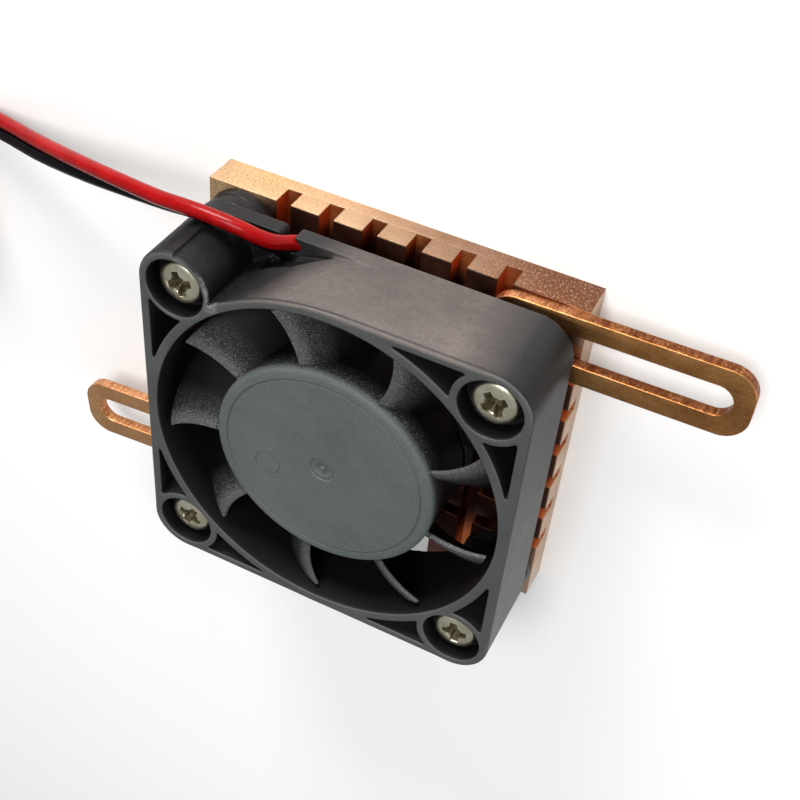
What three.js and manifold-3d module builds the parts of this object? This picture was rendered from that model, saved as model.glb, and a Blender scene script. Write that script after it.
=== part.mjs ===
// A small copper chip cooler: a cross-cut copper heatsink with a 40 mm axial fan screwed on top of it,
// two slotted copper mounting arms clamped under opposite corners of the fan, and a two-wire fan lead.
// Millimetres, +Z up. The origin is the centre of the heatsink's flat underside.
import * as THREE from 'three';
import { mergeVertices } from 'three/addons/utils/BufferGeometryUtils.js';
import Module from 'manifold-3d';

const wasm = await Module();
wasm.setup();

// ---- Driving dimensions ----
const CLEARANCE = 0.3;
const CONTACT = 0.02;

const SIDE = 40;
const SCREW_PITCH = 32;
const SCREW_AT = SCREW_PITCH / 2;

const SINK_HEIGHT = 4.0;
const SINK_BASE = 1.6;
const GROOVE_WIDTH = 1.6;
const GROOVE_PITCH = 4.66;
const GROOVES = 6;

const ARM_LENGTH = 25.4;
const ARM_WIDTH = 7.4;
const ARM_THICKNESS = 1.3;
const ARM_SLOT_WIDTH = 3.4;
const ARM_END_WALL = 1.8;
const ARM_CORNER = 2.7;
const ARM_REACH_TR = 20.2;
const ARM_REACH_BL = 21.4;
const ARM_TURN_TR = 1;
const ARM_TURN_BL = 4;

const WASHER_THICKNESS = 1.3;
const WASHER_RADIUS = 3.9;
const ARM_WASHER_RADIUS = 2.5;
const WASHER_HOLE = 1.6;

const FAN_HEIGHT = 10;
const FAN_BACK = SINK_HEIGHT + ARM_THICKNESS + WASHER_THICKNESS;
const FAN_FRONT = FAN_BACK + FAN_HEIGHT;
const FAN_CORNER = 4;
const FAN_WALL = 1.0;
const FLANGE = 1.8;
const BORE_RADIUS = 18.8;
const RING_RADIUS = 19.8;
const BOSS_RADIUS = 3.9;
const BOSS_RADIUS_AT_LEAD = 3.6;
const WELL_RADIUS = 3.15;
const WELL_DEPTH = 2.4;
const CASE_HOLE = 1.6;
const SHOULDER_X = 3;
const SHOULDER_RADIUS = (SHOULDER_X ** 2 + (SIDE / 2) ** 2 - RING_RADIUS ** 2) / (SIDE - 2 * RING_RADIUS);
const LEAD_WALL = 0.5;

const HUB_RADIUS = 12.0;
const HUB_WALL = 0.9;
const HUB_TOP = FAN_FRONT - 0.5;
const HUB_BOTTOM = FAN_BACK + 2.5;
const BLADES = 9;
const BLADE_PHASE = 24.5;
const BLADE_TIP = 18.1;
const BLADE_SWEEP = 5.5;
const BLADE_WRAP = 25;
const BLADE_BOW = 1.6;
const BLADE_TOP = FAN_FRONT - 1.0;
const BLADE_BOTTOM = FAN_BACK + 2.9;
const BLADE_THICKNESS = 0.8;

const MOTOR_BASE_RADIUS = 12.2;
const SHAFT_RADIUS = 1.0;

const SCREW_SHANK = 1.25;
const SCREW_LENGTH = 13;
const HEAD_RADIUS = 2.3;
const HEAD_HEIGHT = 1.6;

const WIRE = 1.5;
const PAIR_STEP = 1.56;
const LEAD_STEPS = 50;
const STRUT_ANGLE_AT_LEAD = 105;
const COIL_X = -65;
const COIL_Y = 4.5;
const COIL_INNER = 7.4;
const COIL_OUTER = COIL_INNER + 2 * PAIR_STEP;
const COIL_HALF_PAIR = PAIR_STEP / 2 + WIRE / 2 + 0.06;
const TIE_ANGLE = 135;

// ---- Materials ----
const paint = (color, roughness, metalness) => new THREE.MeshStandardMaterial({ color, roughness, metalness });
const COPPER = paint(0xc98a5e, 0.35, 1);
const PLASTIC = paint(0x3d3d3e, 0.55, 0);
const HUB_PLASTIC = paint(0x5d635f, 0.6, 0);
const NICKEL = paint(0xb9b394, 0.3, 1);
const WASHER = paint(0x1c1a1b, 0.6, 0);
const STEEL = paint(0x8b8f94, 0.35, 1);
const MAGNET = paint(0x2a2523, 0.8, 0);
const BRONZE = paint(0x9a6f3c, 0.5, 1);
const ENAMEL = paint(0xa85a24, 0.35, 0.6);
const BOARD = paint(0x2f5b36, 0.5, 0);
const EPOXY = paint(0x141414, 0.5, 0);
const LABEL = paint(0xc9ccd0, 0.4, 0.5);
const RED = paint(0xcc1a1c, 0.35, 0);
const BLACK = paint(0x17161a, 0.4, 0);
const NYLON = paint(0xe9e4d6, 0.5, 0);
const TIN = paint(0xb4b7ba, 0.35, 1);

// ---- Solids ----
const radians = (degrees) => (degrees * Math.PI) / 180;

function solid(geometry) {
  const bare = geometry.clone();
  for (const name of Object.keys(bare.attributes)) {
    if (name !== 'position') bare.deleteAttribute(name);
  }
  const merged = mergeVertices(bare, 1e-4);
  const points = merged.attributes.position;
  const corners = Array.from(merged.index.array);
  const faces = [];
  let volume = 0;
  for (let i = 0; i < corners.length; i += 3) {
    const [a, b, c] = corners.slice(i, i + 3);
    if (a === b || b === c || c === a) continue;
    faces.push(a, b, c);
    const [p, q, r] = [a, b, c].map((k) => new THREE.Vector3().fromBufferAttribute(points, k));
    volume += p.dot(q.cross(r));
  }
  if (volume < 0) faces.reverse();
  return new wasm.Manifold(
    new wasm.Mesh({
      numProp: 3,
      vertProperties: new Float32Array(points.array),
      triVerts: new Uint32Array(faces),
    })
  );
}

function geometryOf(manifold) {
  const mesh = manifold.getMesh();
  const geometry = new THREE.BufferGeometry();
  geometry.setAttribute('position', new THREE.BufferAttribute(mesh.vertProperties, 3));
  geometry.setIndex(new THREE.BufferAttribute(mesh.triVerts, 1));
  geometry.computeVertexNormals();
  return geometry;
}

const joined = (first, ...rest) => rest.reduce((whole, piece) => whole.add(piece), first);
const cut = (first, ...rest) => rest.reduce((whole, piece) => whole.subtract(piece), first);

function block(x0, x1, y0, y1, z0, z1) {
  const box = new THREE.BoxGeometry(x1 - x0, y1 - y0, z1 - z0);
  return solid(box.translate((x0 + x1) / 2, (y0 + y1) / 2, (z0 + z1) / 2));
}

function turnedBlock(angle, x0, x1, halfWidth, z0, z1) {
  const box = new THREE.BoxGeometry(x1 - x0, 2 * halfWidth, z1 - z0);
  return solid(box.translate((x0 + x1) / 2, 0, (z0 + z1) / 2).rotateZ(radians(angle)));
}

function cylinder(radius, z0, z1, x = 0, y = 0, sides = 32) {
  const drum = new THREE.CylinderGeometry(radius, radius, z1 - z0, sides).rotateX(Math.PI / 2);
  return solid(drum.translate(x, y, (z0 + z1) / 2));
}

// A profile of [radius, height] points, closed on itself or on the axis, turned about a vertical axis.
function turned(profile, sides = 48, x = 0, y = 0) {
  const points = profile.map(([r, z]) => new THREE.Vector2(r, z));
  return solid(new THREE.LatheGeometry(points, sides).rotateX(Math.PI / 2).translate(x, y, 0));
}

function ring(inner, outer, z0, z1, sides = 48, x = 0, y = 0) {
  return turned([[inner, z0], [outer, z0], [outer, z1], [inner, z1], [inner, z0]], sides, x, y);
}

function prism(shape, z0, z1, curveSegments = 6) {
  const options = { depth: z1 - z0, bevelEnabled: false, curveSegments };
  return solid(new THREE.ExtrudeGeometry(shape, options).translate(0, 0, z0));
}

// A shape drawn in X and Z, extruded along Y.
function prismAlongY(shape, y0, y1) {
  const options = { depth: y1 - y0, bevelEnabled: false };
  return solid(new THREE.ExtrudeGeometry(shape, options).rotateX(Math.PI / 2).translate(0, y1, 0));
}

const outline = (...points) => new THREE.Shape(points.map(([x, y]) => new THREE.Vector2(x, y)));

function roundedRectangle(x0, x1, y0, y1, radius) {
  const shape = new THREE.Shape();
  shape.absarc(x1 - radius, y1 - radius, radius, 0, Math.PI / 2);
  shape.absarc(x0 + radius, y1 - radius, radius, Math.PI / 2, Math.PI);
  shape.absarc(x0 + radius, y0 + radius, radius, Math.PI, 1.5 * Math.PI);
  shape.absarc(x1 - radius, y0 + radius, radius, 1.5 * Math.PI, 2 * Math.PI);
  return shape;
}

function mesh(name, manifold, material) {
  const node = new THREE.Mesh(geometryOf(manifold), material);
  node.name = name;
  return node;
}

const CORNERS = { tl: [-1, 1], tr: [1, 1], bl: [-1, -1], br: [1, -1] };
const screwPlace = (corner) => CORNERS[corner].map((sign) => sign * SCREW_AT);

// ---- Heatsink ----
// The spans of metal left between the grooves, from one edge to the other.
function ridges() {
  const half = SIDE / 2;
  const centres = Array.from({ length: GROOVES }, (_, i) => (i - (GROOVES - 1) / 2) * GROOVE_PITCH);
  const starts = [-half, ...centres.map((centre) => centre + GROOVE_WIDTH / 2)];
  const ends = [...centres.map((centre) => centre - GROOVE_WIDTH / 2), half];
  return starts.map((start, i) => [start, ends[i]]);
}

function heatsink() {
  const half = SIDE / 2;
  let body = block(-half, half, -half, half, 0, SINK_BASE);
  for (const [x0, x1] of ridges()) {
    for (const [y0, y1] of ridges()) {
      body = body.add(block(x0, x1, y0, y1, SINK_BASE - 0.5, SINK_HEIGHT));
    }
  }
  const tappedFrom = 0.6;
  for (const corner of Object.keys(CORNERS)) {
    const [x, y] = screwPlace(corner);
    body = cut(body, cylinder(SCREW_SHANK + CLEARANCE, tappedFrom, SINK_HEIGHT + 1, x, y, 24));
  }
  return mesh('heatsink', body, COPPER);
}

// ---- Mounting arms: each is drawn with its screw at the origin and its outer end on +X ----
function arm(name, corner, reach, turn) {
  const shape = roundedRectangle(reach - ARM_LENGTH, reach, -ARM_WIDTH / 2, ARM_WIDTH / 2, ARM_CORNER);
  const slotRadius = ARM_SLOT_WIDTH / 2;
  const slotStart = reach - ARM_LENGTH + ARM_END_WALL + slotRadius;
  const slotEnd = reach - ARM_END_WALL - slotRadius;
  const slot = new THREE.Path();
  slot.absarc(slotEnd, 0, slotRadius, -Math.PI / 2, Math.PI / 2);
  slot.absarc(slotStart, 0, slotRadius, Math.PI / 2, 1.5 * Math.PI);
  shape.holes.push(slot);
  const z0 = SINK_HEIGHT + CONTACT;
  const node = mesh(name, prism(shape, z0, z0 + ARM_THICKNESS - 2 * CONTACT, 10), COPPER);
  const [x, y] = screwPlace(corner);
  node.position.set(x, y, 0);
  node.rotation.z = radians(turn);
  return node;
}

// ---- Screws and washers ----
function screw(corner) {
  const [x, y] = screwPlace(corner);
  const seat = FAN_FRONT - WELL_DEPTH + CONTACT;
  const top = seat + HEAD_HEIGHT;
  const tip = seat - SCREW_LENGTH;
  const profile = [
    [0, tip],
    [SCREW_SHANK - 0.4, tip],
    [SCREW_SHANK, tip + 0.5],
    [SCREW_SHANK, seat],
    [HEAD_RADIUS - 0.05, seat],
    [HEAD_RADIUS, seat + 0.5],
    [HEAD_RADIUS, seat + 1.0],
    [HEAD_RADIUS - 0.2, seat + 1.3],
    [HEAD_RADIUS - 0.65, seat + 1.46],
    [HEAD_RADIUS - 1.3, top - 0.04],
    [0, top],
  ];
  const recessDepth = 0.95;
  const wing = 1.2;
  const halfWidth = 0.32;
  const cross = (angle) => {
    const box = new THREE.BoxGeometry(2 * wing, 2 * halfWidth, 2 * recessDepth);
    return solid(box.rotateZ(radians(angle)).translate(x, y, top));
  };
  const core = new THREE.CylinderGeometry(0.75, 0.35, 2 * recessDepth, 12).rotateX(Math.PI / 2);
  const point = solid(core.translate(x, y, top));
  const turnedBy = { tl: 20, tr: 35, bl: 62, br: 8 }[corner];
  const body = cut(turned(profile, 24, x, y), cross(turnedBy), cross(turnedBy + 90), point);
  return mesh(`screw_${corner}`, body, NICKEL);
}

function washer(name, corner, level, radius) {
  const [x, y] = screwPlace(corner);
  const top = FAN_BACK - level * WASHER_THICKNESS;
  const body = ring(WASHER_HOLE, radius, top - WASHER_THICKNESS + CONTACT, top - CONTACT, 32, x, y);
  return mesh(name, body, WASHER);
}

// ---- The lead: two wires side by side, laid on one route ----
const CHANNEL_HEIGHT = FAN_BACK + 0.8;
const RED_ROUTE = [
  [-2.06, 10.95, CHANNEL_HEIGHT],
  [-2.59, 12.77, CHANNEL_HEIGHT],
  [-3.11, 14.7, CHANNEL_HEIGHT],
  [-3.6, 16.5, CHANNEL_HEIGHT],
  [-4.35, 17.85, CHANNEL_HEIGHT],
  [-5.6, 18.7, CHANNEL_HEIGHT],
  [-7.0, 18.95, CHANNEL_HEIGHT],
  [-8.05, 19.0, 7.75],
  [-8.8, 19.2, 8.6],
  [-9.5, 19.65, 9.6],
  [-10.6, 20.3, 10.45],
  [-12.4, 21.05, 11.05],
  [-16.46, 21.54, 11.4],
  [-20.98, 21.3, 11.2],
  [-26.2, 20.8, 10.2],
  [-32.35, 19.72, 8.3],
  [-39.5, 18.1, 5.5],
  [-46.2, 16.9, 2.9],
  [-52.2, 16.15, 1.25],
  [-58.6, 15.83, 0.8],
];
const BLACK_ROUTE = [
  [-3.6, 10.52, CHANNEL_HEIGHT],
  [-4.13, 12.35, CHANNEL_HEIGHT],
  [-4.65, 14.28, CHANNEL_HEIGHT],
  [-5.12, 15.75, CHANNEL_HEIGHT],
  [-5.95, 16.85, CHANNEL_HEIGHT],
  [-7.2, 17.35, CHANNEL_HEIGHT],
  [-8.6, 17.45, 7.5],
  [-9.6, 17.85, 7.95],
  [-10.38, 18.42, 8.62],
  [-11.25, 19.12, 9.22],
  [-12.6, 19.85, 9.75],
  [-16.46, 20.4, 10.1],
  [-20.98, 20.1, 10.1],
  [-26.2, 19.4, 9.4],
  [-32.35, 18.15, 7.9],
  [-39.5, 16.5, 5.45],
  [-46.2, 15.3, 2.9],
  [-51.2, 14.62, 1.45],
  [-56.2, 14.3, 0.85],
];
const TAIL_X = COIL_X - COIL_OUTER;
const PLUG_REAR = -9.6;
const tailRoute = (side, plugX) => [
  [TAIL_X + (side * PAIR_STEP) / 2, COIL_Y - 8.7, 2.15],
  [TAIL_X + (side * PAIR_STEP) / 2, COIL_Y - 10.6, 2.15],
  [TAIL_X + plugX * 0.8, COIL_Y - 12.4, 2.5],
  [TAIL_X + plugX, PLUG_REAR - 0.2, 2.875],
  [TAIL_X + plugX, PLUG_REAR - 1.8, 2.875],
];

function tube(route, radius, steps, sides = 8) {
  const section = [];
  for (let i = 0; i < sides; i += 1) {
    const angle = radians((i + 0.5) * (360 / sides));
    section.push([radius * Math.cos(angle), radius * Math.sin(angle)]);
  }
  const path = new THREE.CatmullRomCurve3(route.map((p) => new THREE.Vector3(...p)), false, 'centripetal');
  return solid(new THREE.ExtrudeGeometry(outline(...section), { steps, bevelEnabled: false, extrudePath: path }));
}

function leadCoil() {
  const inner = COIL_INNER - COIL_HALF_PAIR;
  const outer = COIL_OUTER + COIL_HALF_PAIR;
  const top = 2 * PAIR_STEP + 0.1;
  const strapGap = 0.75;
  const slot = new THREE.BoxGeometry(outer - inner + 2, 2.6, 2 * strapGap);
  slot.translate((inner + outer) / 2, 0, 0).rotateZ(radians(TIE_ANGLE)).translate(COIL_X, COIL_Y, 0);
  const body = cut(ring(inner, outer, CONTACT, top, 48, COIL_X, COIL_Y), solid(slot));
  return mesh('lead_coil', body, BLACK);
}

function coilTie() {
  const inner = COIL_INNER - COIL_HALF_PAIR - CLEARANCE;
  const outer = COIL_OUTER + COIL_HALF_PAIR + CLEARANCE;
  const strap = 0.4;
  const halfBand = 1.0;
  const inside = 2 * PAIR_STEP + 0.1 + CLEARANCE;
  const place = (box) => solid(box.rotateZ(radians(TIE_ANGLE)).translate(COIL_X, COIL_Y, 0));
  const box = (r0, r1, half, z0, z1) =>
    place(new THREE.BoxGeometry(r1 - r0, 2 * half, z1 - z0).translate((r0 + r1) / 2, 0, (z0 + z1) / 2));
  const band = cut(
    box(inner - strap, outer + strap, halfBand, CONTACT, inside + strap),
    box(inner, outer, halfBand + 1, strap, inside)
  );
  const head = box(outer + strap / 2, outer + 1.7, 1.5, 0.9, 3.1);
  const tail = box(outer + 0.6, outer + 1.0, 0.8, 3.0, 4.6);
  return mesh('coil_tie', joined(band, head, tail), NYLON);
}

// ---- Plug on the lead's end ----
const PLUG_PIN = 1.25;

function plugHousing() {
  const halfWidth = 3.7;
  const length = 9.8;
  const height = 5.75;
  const front = PLUG_REAR - length;
  let body = block(TAIL_X - halfWidth, TAIL_X + halfWidth, front, PLUG_REAR, CONTACT, height);
  for (const x of [TAIL_X - PLUG_PIN, TAIL_X + PLUG_PIN]) {
    body = cut(
      body,
      block(x - 1.08, x + 1.08, front + 1.2, PLUG_REAR + 1, 1.75, 4.0),
      block(x - 0.5, x + 0.5, front - 1, front + 2, 2.35, 3.35),
      block(x - 0.55, x + 0.55, front + 2.6, front + 5.2, 3.5, height + 1)
    );
  }
  const ribs = [-2.5, 2.5].map((x) =>
    block(TAIL_X + x - 0.4, TAIL_X + x + 0.4, front + 1.0, PLUG_REAR - 2.4, height - 0.1, height + 0.5)
  );
  return mesh('plug_housing', joined(body, ...ribs), NYLON);
}

function terminal(name, side) {
  const x = TAIL_X + side * PLUG_PIN;
  const front = PLUG_REAR - 8.3;
  const box = cut(
    block(x - 0.75, x + 0.75, front, front + 5.6, 2.1, 3.65),
    block(x - 0.45, x + 0.45, front - 1, front + 3.6, 2.4, 3.35)
  );
  return mesh(name, box, TIN);
}

// ---- Fan case ----
function caseShell() {
  const half = SIDE / 2;
  const outer = roundedRectangle(-half, half, -half, half, FAN_CORNER);
  const inside = half - FAN_WALL;
  outer.holes.push(roundedRectangle(-inside, inside, -inside, inside, FAN_CORNER - FAN_WALL));
  const plate = roundedRectangle(-half, half, -half, half, FAN_CORNER);
  const walls = prism(outer, FAN_BACK, FAN_FRONT, 8);
  const flange = cut(
    prism(plate, FAN_BACK, FAN_BACK + FLANGE, 8),
    cylinder(BORE_RADIUS, FAN_BACK - 1, FAN_FRONT, 0, 0, 64)
  );
  const shroud = ring(BORE_RADIUS, RING_RADIUS, FAN_BACK, FAN_FRONT, 64);
  return joined(walls, flange, shroud);
}

// Beside the lead the wall is cut away down to the back flange: from SHOULDER_X it curves in to meet the ring.
function leadRelief() {
  const half = SIDE / 2;
  const meeting = Math.asin(SHOULDER_X / (SHOULDER_RADIUS - RING_RADIUS));
  const shoulder = [0, 0.25, 0.5, 0.75, 1].map((share) => {
    const turn = meeting * share;
    return [SHOULDER_X - SHOULDER_RADIUS * Math.sin(turn), half - SHOULDER_RADIUS * (1 - Math.cos(turn))];
  });
  shoulder[0][1] = half + 0.01;
  const region = prism(
    outline(
      [-SCREW_AT, half + 1], [-SCREW_AT, 17.2], [-12.75, 17.2], [-10.9, 16.2], ...shoulder.reverse(),
      [SHOULDER_X, half + 1]
    ),
    FAN_BACK + FLANGE,
    FAN_FRONT + 1
  );
  const [x, y] = screwPlace('tl');
  return cut(
    region,
    cylinder(RING_RADIUS, FAN_BACK, FAN_FRONT + 2, 0, 0, 64),
    cylinder(BOSS_RADIUS_AT_LEAD, FAN_BACK, FAN_FRONT + 2, x, y)
  );
}

// The pocket in the ring above the flange and the slot in the flange where the two wires come out.
function leadExit() {
  const half = SIDE / 2;
  const flangeTop = FAN_BACK + FLANGE;
  const side = outline(
    [-10.4, flangeTop - 0.01], [-3.4, flangeTop - 0.01], [-6.9, flangeTop + 2.3], [-10.4, flangeTop + 2.3]
  );
  const pocket = cut(
    prismAlongY(side, 15.0, half + 1),
    cylinder(RING_RADIUS - LEAD_WALL, FAN_BACK, FAN_FRONT, 0, 0, 64)
  );
  const slot = new THREE.Shape();
  slot.moveTo(-9.4, 17.6);
  slot.lineTo(-9.4, 19.4);
  slot.quadraticCurveTo(-9.4, half, -10.0, half + 0.1);
  slot.lineTo(-7.8, half + 0.1);
  slot.quadraticCurveTo(-8.1, half, -8.1, 19.6);
  slot.lineTo(-8.1, 17.6);
  return [
    pocket,
    prism(slot, FAN_BACK - 1, flangeTop + 0.2, 4),
    tube(RED_ROUTE, WIRE / 2 + CLEARANCE, LEAD_STEPS, 10),
    tube(BLACK_ROUTE, WIRE / 2 + CLEARANCE, LEAD_STEPS, 10),
  ];
}

function motorBase() {
  const floorTop = FAN_BACK + 0.8;
  const base = turned([
    [1.9, FAN_BACK + 0.25], [11.2, FAN_BACK + 0.25], [11.2, FAN_BACK], [MOTOR_BASE_RADIUS, FAN_BACK],
    [MOTOR_BASE_RADIUS, HUB_BOTTOM - CLEARANCE], [11.2, HUB_BOTTOM - CLEARANCE], [11.2, floorTop],
    [3.0, floorTop], [3.0, FAN_FRONT - 3.6], [2.5, FAN_FRONT - 3.6], [2.5, floorTop],
    [1.9, floorTop], [1.9, FAN_BACK + 0.25],
  ]);
  const struts = [1, 2, 3].map((i) =>
    turnedBlock(STRUT_ANGLE_AT_LEAD + 90 * i, 11.7, 19.2, 0.9, FAN_BACK, FAN_BACK + 1.7)
  );
  const leadStrut = turnedBlock(STRUT_ANGLE_AT_LEAD, 11.7, 19.3, 2.7, FAN_BACK, FAN_BACK + 2.2);
  return joined(base, ...struts, leadStrut);
}

function fanCase() {
  let body = joined(caseShell(), motorBase());
  for (const corner of Object.keys(CORNERS)) {
    const [x, y] = screwPlace(corner);
    const radius = corner === 'tl' ? BOSS_RADIUS_AT_LEAD : BOSS_RADIUS;
    body = body.add(cylinder(radius, FAN_BACK, FAN_FRONT, x, y));
  }
  body = cut(body, leadRelief(), ...leadExit());
  const channel = turnedBlock(STRUT_ANGLE_AT_LEAD, 10.6, 19.0, 1.85, FAN_BACK - 1, FAN_BACK + 1.85);
  body = body.subtract(channel);
  for (const corner of Object.keys(CORNERS)) {
    const [x, y] = screwPlace(corner);
    body = cut(
      body,
      cylinder(WELL_RADIUS, FAN_FRONT - WELL_DEPTH, FAN_FRONT + 1, x, y),
      cylinder(CASE_HOLE, FAN_BACK - 1, FAN_FRONT, x, y, 24)
    );
  }
  return mesh('fan_case', body, PLASTIC);
}

// ---- Rotor ----
function blade(number) {
  const middleRadius = 15;
  const wrap = radians(BLADE_WRAP) * middleRadius;
  const spans = 6;
  const centre = (t) => [-wrap * t * (1.45 - 0.45 * t), BLADE_TOP - (BLADE_TOP - BLADE_BOTTOM) * t];
  const front = [];
  const back = [];
  for (let i = 0; i <= spans; i += 1) {
    const t = i / spans;
    const [x, z] = centre(t);
    const [nextX, nextZ] = centre(t + 0.01);
    const slope = new THREE.Vector2(nextX - x, nextZ - z).normalize();
    const half = BLADE_THICKNESS * (t === 0 ? 0.3 : 0.5 - 0.2 * t);
    front.push([x - slope.y * half, z + slope.x * half]);
    back.unshift([x + slope.y * half, z - slope.x * half]);
  }
  const root = HUB_RADIUS - HUB_WALL / 2;
  const options = { depth: BLADE_TIP - root, steps: 4, bevelEnabled: false };
  const geometry = new THREE.ExtrudeGeometry(outline(...front, ...back), options);
  const place = geometry.attributes.position;
  const start = radians(BLADE_PHASE + (360 / BLADES) * number);
  for (let i = 0; i < place.count; i += 1) {
    const radius = root + place.getZ(i);
    const share = place.getZ(i) / options.depth;
    const sweep = radians(BLADE_SWEEP * share - 4 * BLADE_BOW * share * (1 - share));
    const angle = start + sweep + place.getX(i) / middleRadius;
    place.setXYZ(i, radius * Math.cos(angle), radius * Math.sin(angle), place.getY(i));
  }
  return solid(geometry);
}

function impeller() {
  const inner = HUB_RADIUS - HUB_WALL;
  const ceiling = HUB_TOP - 1.0;
  const hub = turned([
    [0, HUB_TOP], [11.5, HUB_TOP], [HUB_RADIUS, HUB_TOP - 0.35], [HUB_RADIUS, HUB_BOTTOM], [inner, HUB_BOTTOM],
    [inner, ceiling], [2.0, ceiling], [2.0, ceiling - 0.6], [SHAFT_RADIUS + 0.1, ceiling - 0.6],
    [SHAFT_RADIUS + 0.1, ceiling + 0.2], [0, ceiling + 0.2],
  ]);
  const blades = Array.from({ length: BLADES }, (_, number) => blade(number));
  return mesh('impeller', joined(hub, ...blades), HUB_PLASTIC);
}

function rotorParts() {
  const top = HUB_TOP - 1.0 - CONTACT;
  const yoke = turned([
    [3.2, top], [10.95, top], [10.95, HUB_BOTTOM + 0.3], [10.35, HUB_BOTTOM + 0.3], [10.35, top - 0.5],
    [3.2, top - 0.5], [3.2, top],
  ]);
  const magnet = ring(8.95, 10.2, HUB_BOTTOM + 0.5, top - 0.8);
  const shaftEnd = FAN_BACK + 0.45;
  const groove = shaftEnd + 0.9;
  const shaft = turned([
    [0, shaftEnd], [0.8, shaftEnd], [SHAFT_RADIUS, shaftEnd + 0.2], [SHAFT_RADIUS, groove], [0.7, groove],
    [0.7, groove + 0.4], [SHAFT_RADIUS, groove + 0.4], [SHAFT_RADIUS, top + 0.1], [0, top + 0.1],
  ], 24);
  const clip = ring(0.8, 1.6, groove + 0.05, groove + 0.35, 24);
  const thrust = ring(SHAFT_RADIUS + 0.1, 1.9, FAN_FRONT - 3.1, FAN_FRONT - 2.7, 24);
  return [
    mesh('rotor_yoke', yoke, STEEL),
    mesh('rotor_magnet', magnet, MAGNET),
    mesh('rotor_shaft', shaft, STEEL),
    mesh('shaft_clip', clip, NYLON),
    mesh('thrust_washer', thrust, NYLON),
  ];
}

// ---- Stator and bearing ----
const CORE_LOW = FAN_BACK + 3.4;
const CORE_HIGH = CORE_LOW + 2.6;

function spokedPlate(hubRadius, armHalf, shoeInner, shoeOuter, z0, z1) {
  let plate = cylinder(hubRadius, z0, z1, 0, 0, 32);
  for (let i = 0; i < 4; i += 1) {
    plate = plate.add(turnedBlock(45 + 90 * i, 0, shoeInner + 0.2, armHalf, z0, z1));
  }
  let shoes = ring(shoeInner, shoeOuter, z0, z1);
  for (let i = 0; i < 4; i += 1) {
    shoes = shoes.subtract(turnedBlock(90 * i, 0, shoeOuter + 1, 1.1, z0 - 1, z1 + 1));
  }
  return cut(joined(plate, shoes), cylinder(3.3, z0 - 1, z1 + 1, 0, 0, 32));
}

function statorParts() {
  const core = spokedPlate(4.6, 0.9, 7.6, 8.5, CORE_LOW, CORE_HIGH);
  const bobbinTop = spokedPlate(4.5, 1.0, 7.3, 8.1, CORE_HIGH + 0.05, CORE_HIGH + 0.65);
  const bobbinBottom = spokedPlate(4.5, 1.0, 7.3, 8.1, CORE_LOW - 0.65, CORE_LOW - 0.05);
  const parts = [
    mesh('stator_core', core, STEEL),
    mesh('bobbin_top', bobbinTop, NYLON),
    mesh('bobbin_bottom', bobbinBottom, NYLON),
  ];
  for (let i = 0; i < 4; i += 1) {
    const angle = 45 + 90 * i;
    const winding = cut(
      turnedBlock(angle, 4.95, 7.0, 2.0, CORE_LOW - 1.4, CORE_HIGH + 1.4),
      turnedBlock(angle, 4.0, 8.0, 1.3, CORE_LOW - 0.85, CORE_HIGH + 0.85)
    );
    parts.push(mesh(`winding_${i + 1}`, winding, ENAMEL));
  }
  return parts;
}

function motorParts() {
  const bearing = ring(SHAFT_RADIUS + 0.15, 2.3, FAN_BACK + 2.2, FAN_FRONT - 3.4, 24);
  const boardTop = FAN_BACK + 1.7;
  const board = ring(3.3, 10.3, boardTop - 0.7, boardTop);
  const sensor = block(7.6, 9.2, -1.4, 1.4, boardTop + 0.05, boardTop + 0.75);
  const label = cylinder(10.9, FAN_BACK + 0.02, FAN_BACK + 0.2, 0, 0, 48);
  return [
    mesh('bearing_sleeve', bearing, BRONZE),
    mesh('driver_board', board, BOARD),
    mesh('hall_sensor', sensor, EPOXY),
    mesh('back_label', label, LABEL),
  ];
}

// ---- Assembly ----
const cooler = new THREE.Group();
cooler.name = 'chip_cooler';
cooler.add(heatsink(), fanCase(), impeller(), ...rotorParts(), ...statorParts(), ...motorParts());
cooler.add(
  arm('arm_tr', 'tr', ARM_REACH_TR, ARM_TURN_TR),
  arm('arm_bl', 'bl', ARM_REACH_BL, 180 + ARM_TURN_BL)
);
for (const corner of Object.keys(CORNERS)) cooler.add(screw(corner));
for (const corner of ['tr', 'bl']) cooler.add(washer(`washer_${corner}`, corner, 0, ARM_WASHER_RADIUS));
for (const corner of ['tl', 'br']) {
  cooler.add(
    washer(`washer_${corner}_upper`, corner, 0, WASHER_RADIUS),
    washer(`washer_${corner}_lower`, corner, 1, WASHER_RADIUS)
  );
}
cooler.add(
  mesh('wire_red', tube(RED_ROUTE, WIRE / 2, LEAD_STEPS), RED),
  mesh('wire_black', tube(BLACK_ROUTE, WIRE / 2, LEAD_STEPS), BLACK),
  mesh('wire_red_tail', tube(tailRoute(-1, -PLUG_PIN), WIRE / 2, 5), RED),
  mesh('wire_black_tail', tube(tailRoute(1, PLUG_PIN), WIRE / 2, 5), BLACK),
  leadCoil(),
  coilTie(),
  plugHousing(),
  terminal('terminal_red', -1),
  terminal('terminal_black', 1)
);

export default cooler;
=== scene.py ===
import math

import bmesh
import bpy
import numpy as np
from mathutils import Matrix, Vector


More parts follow.
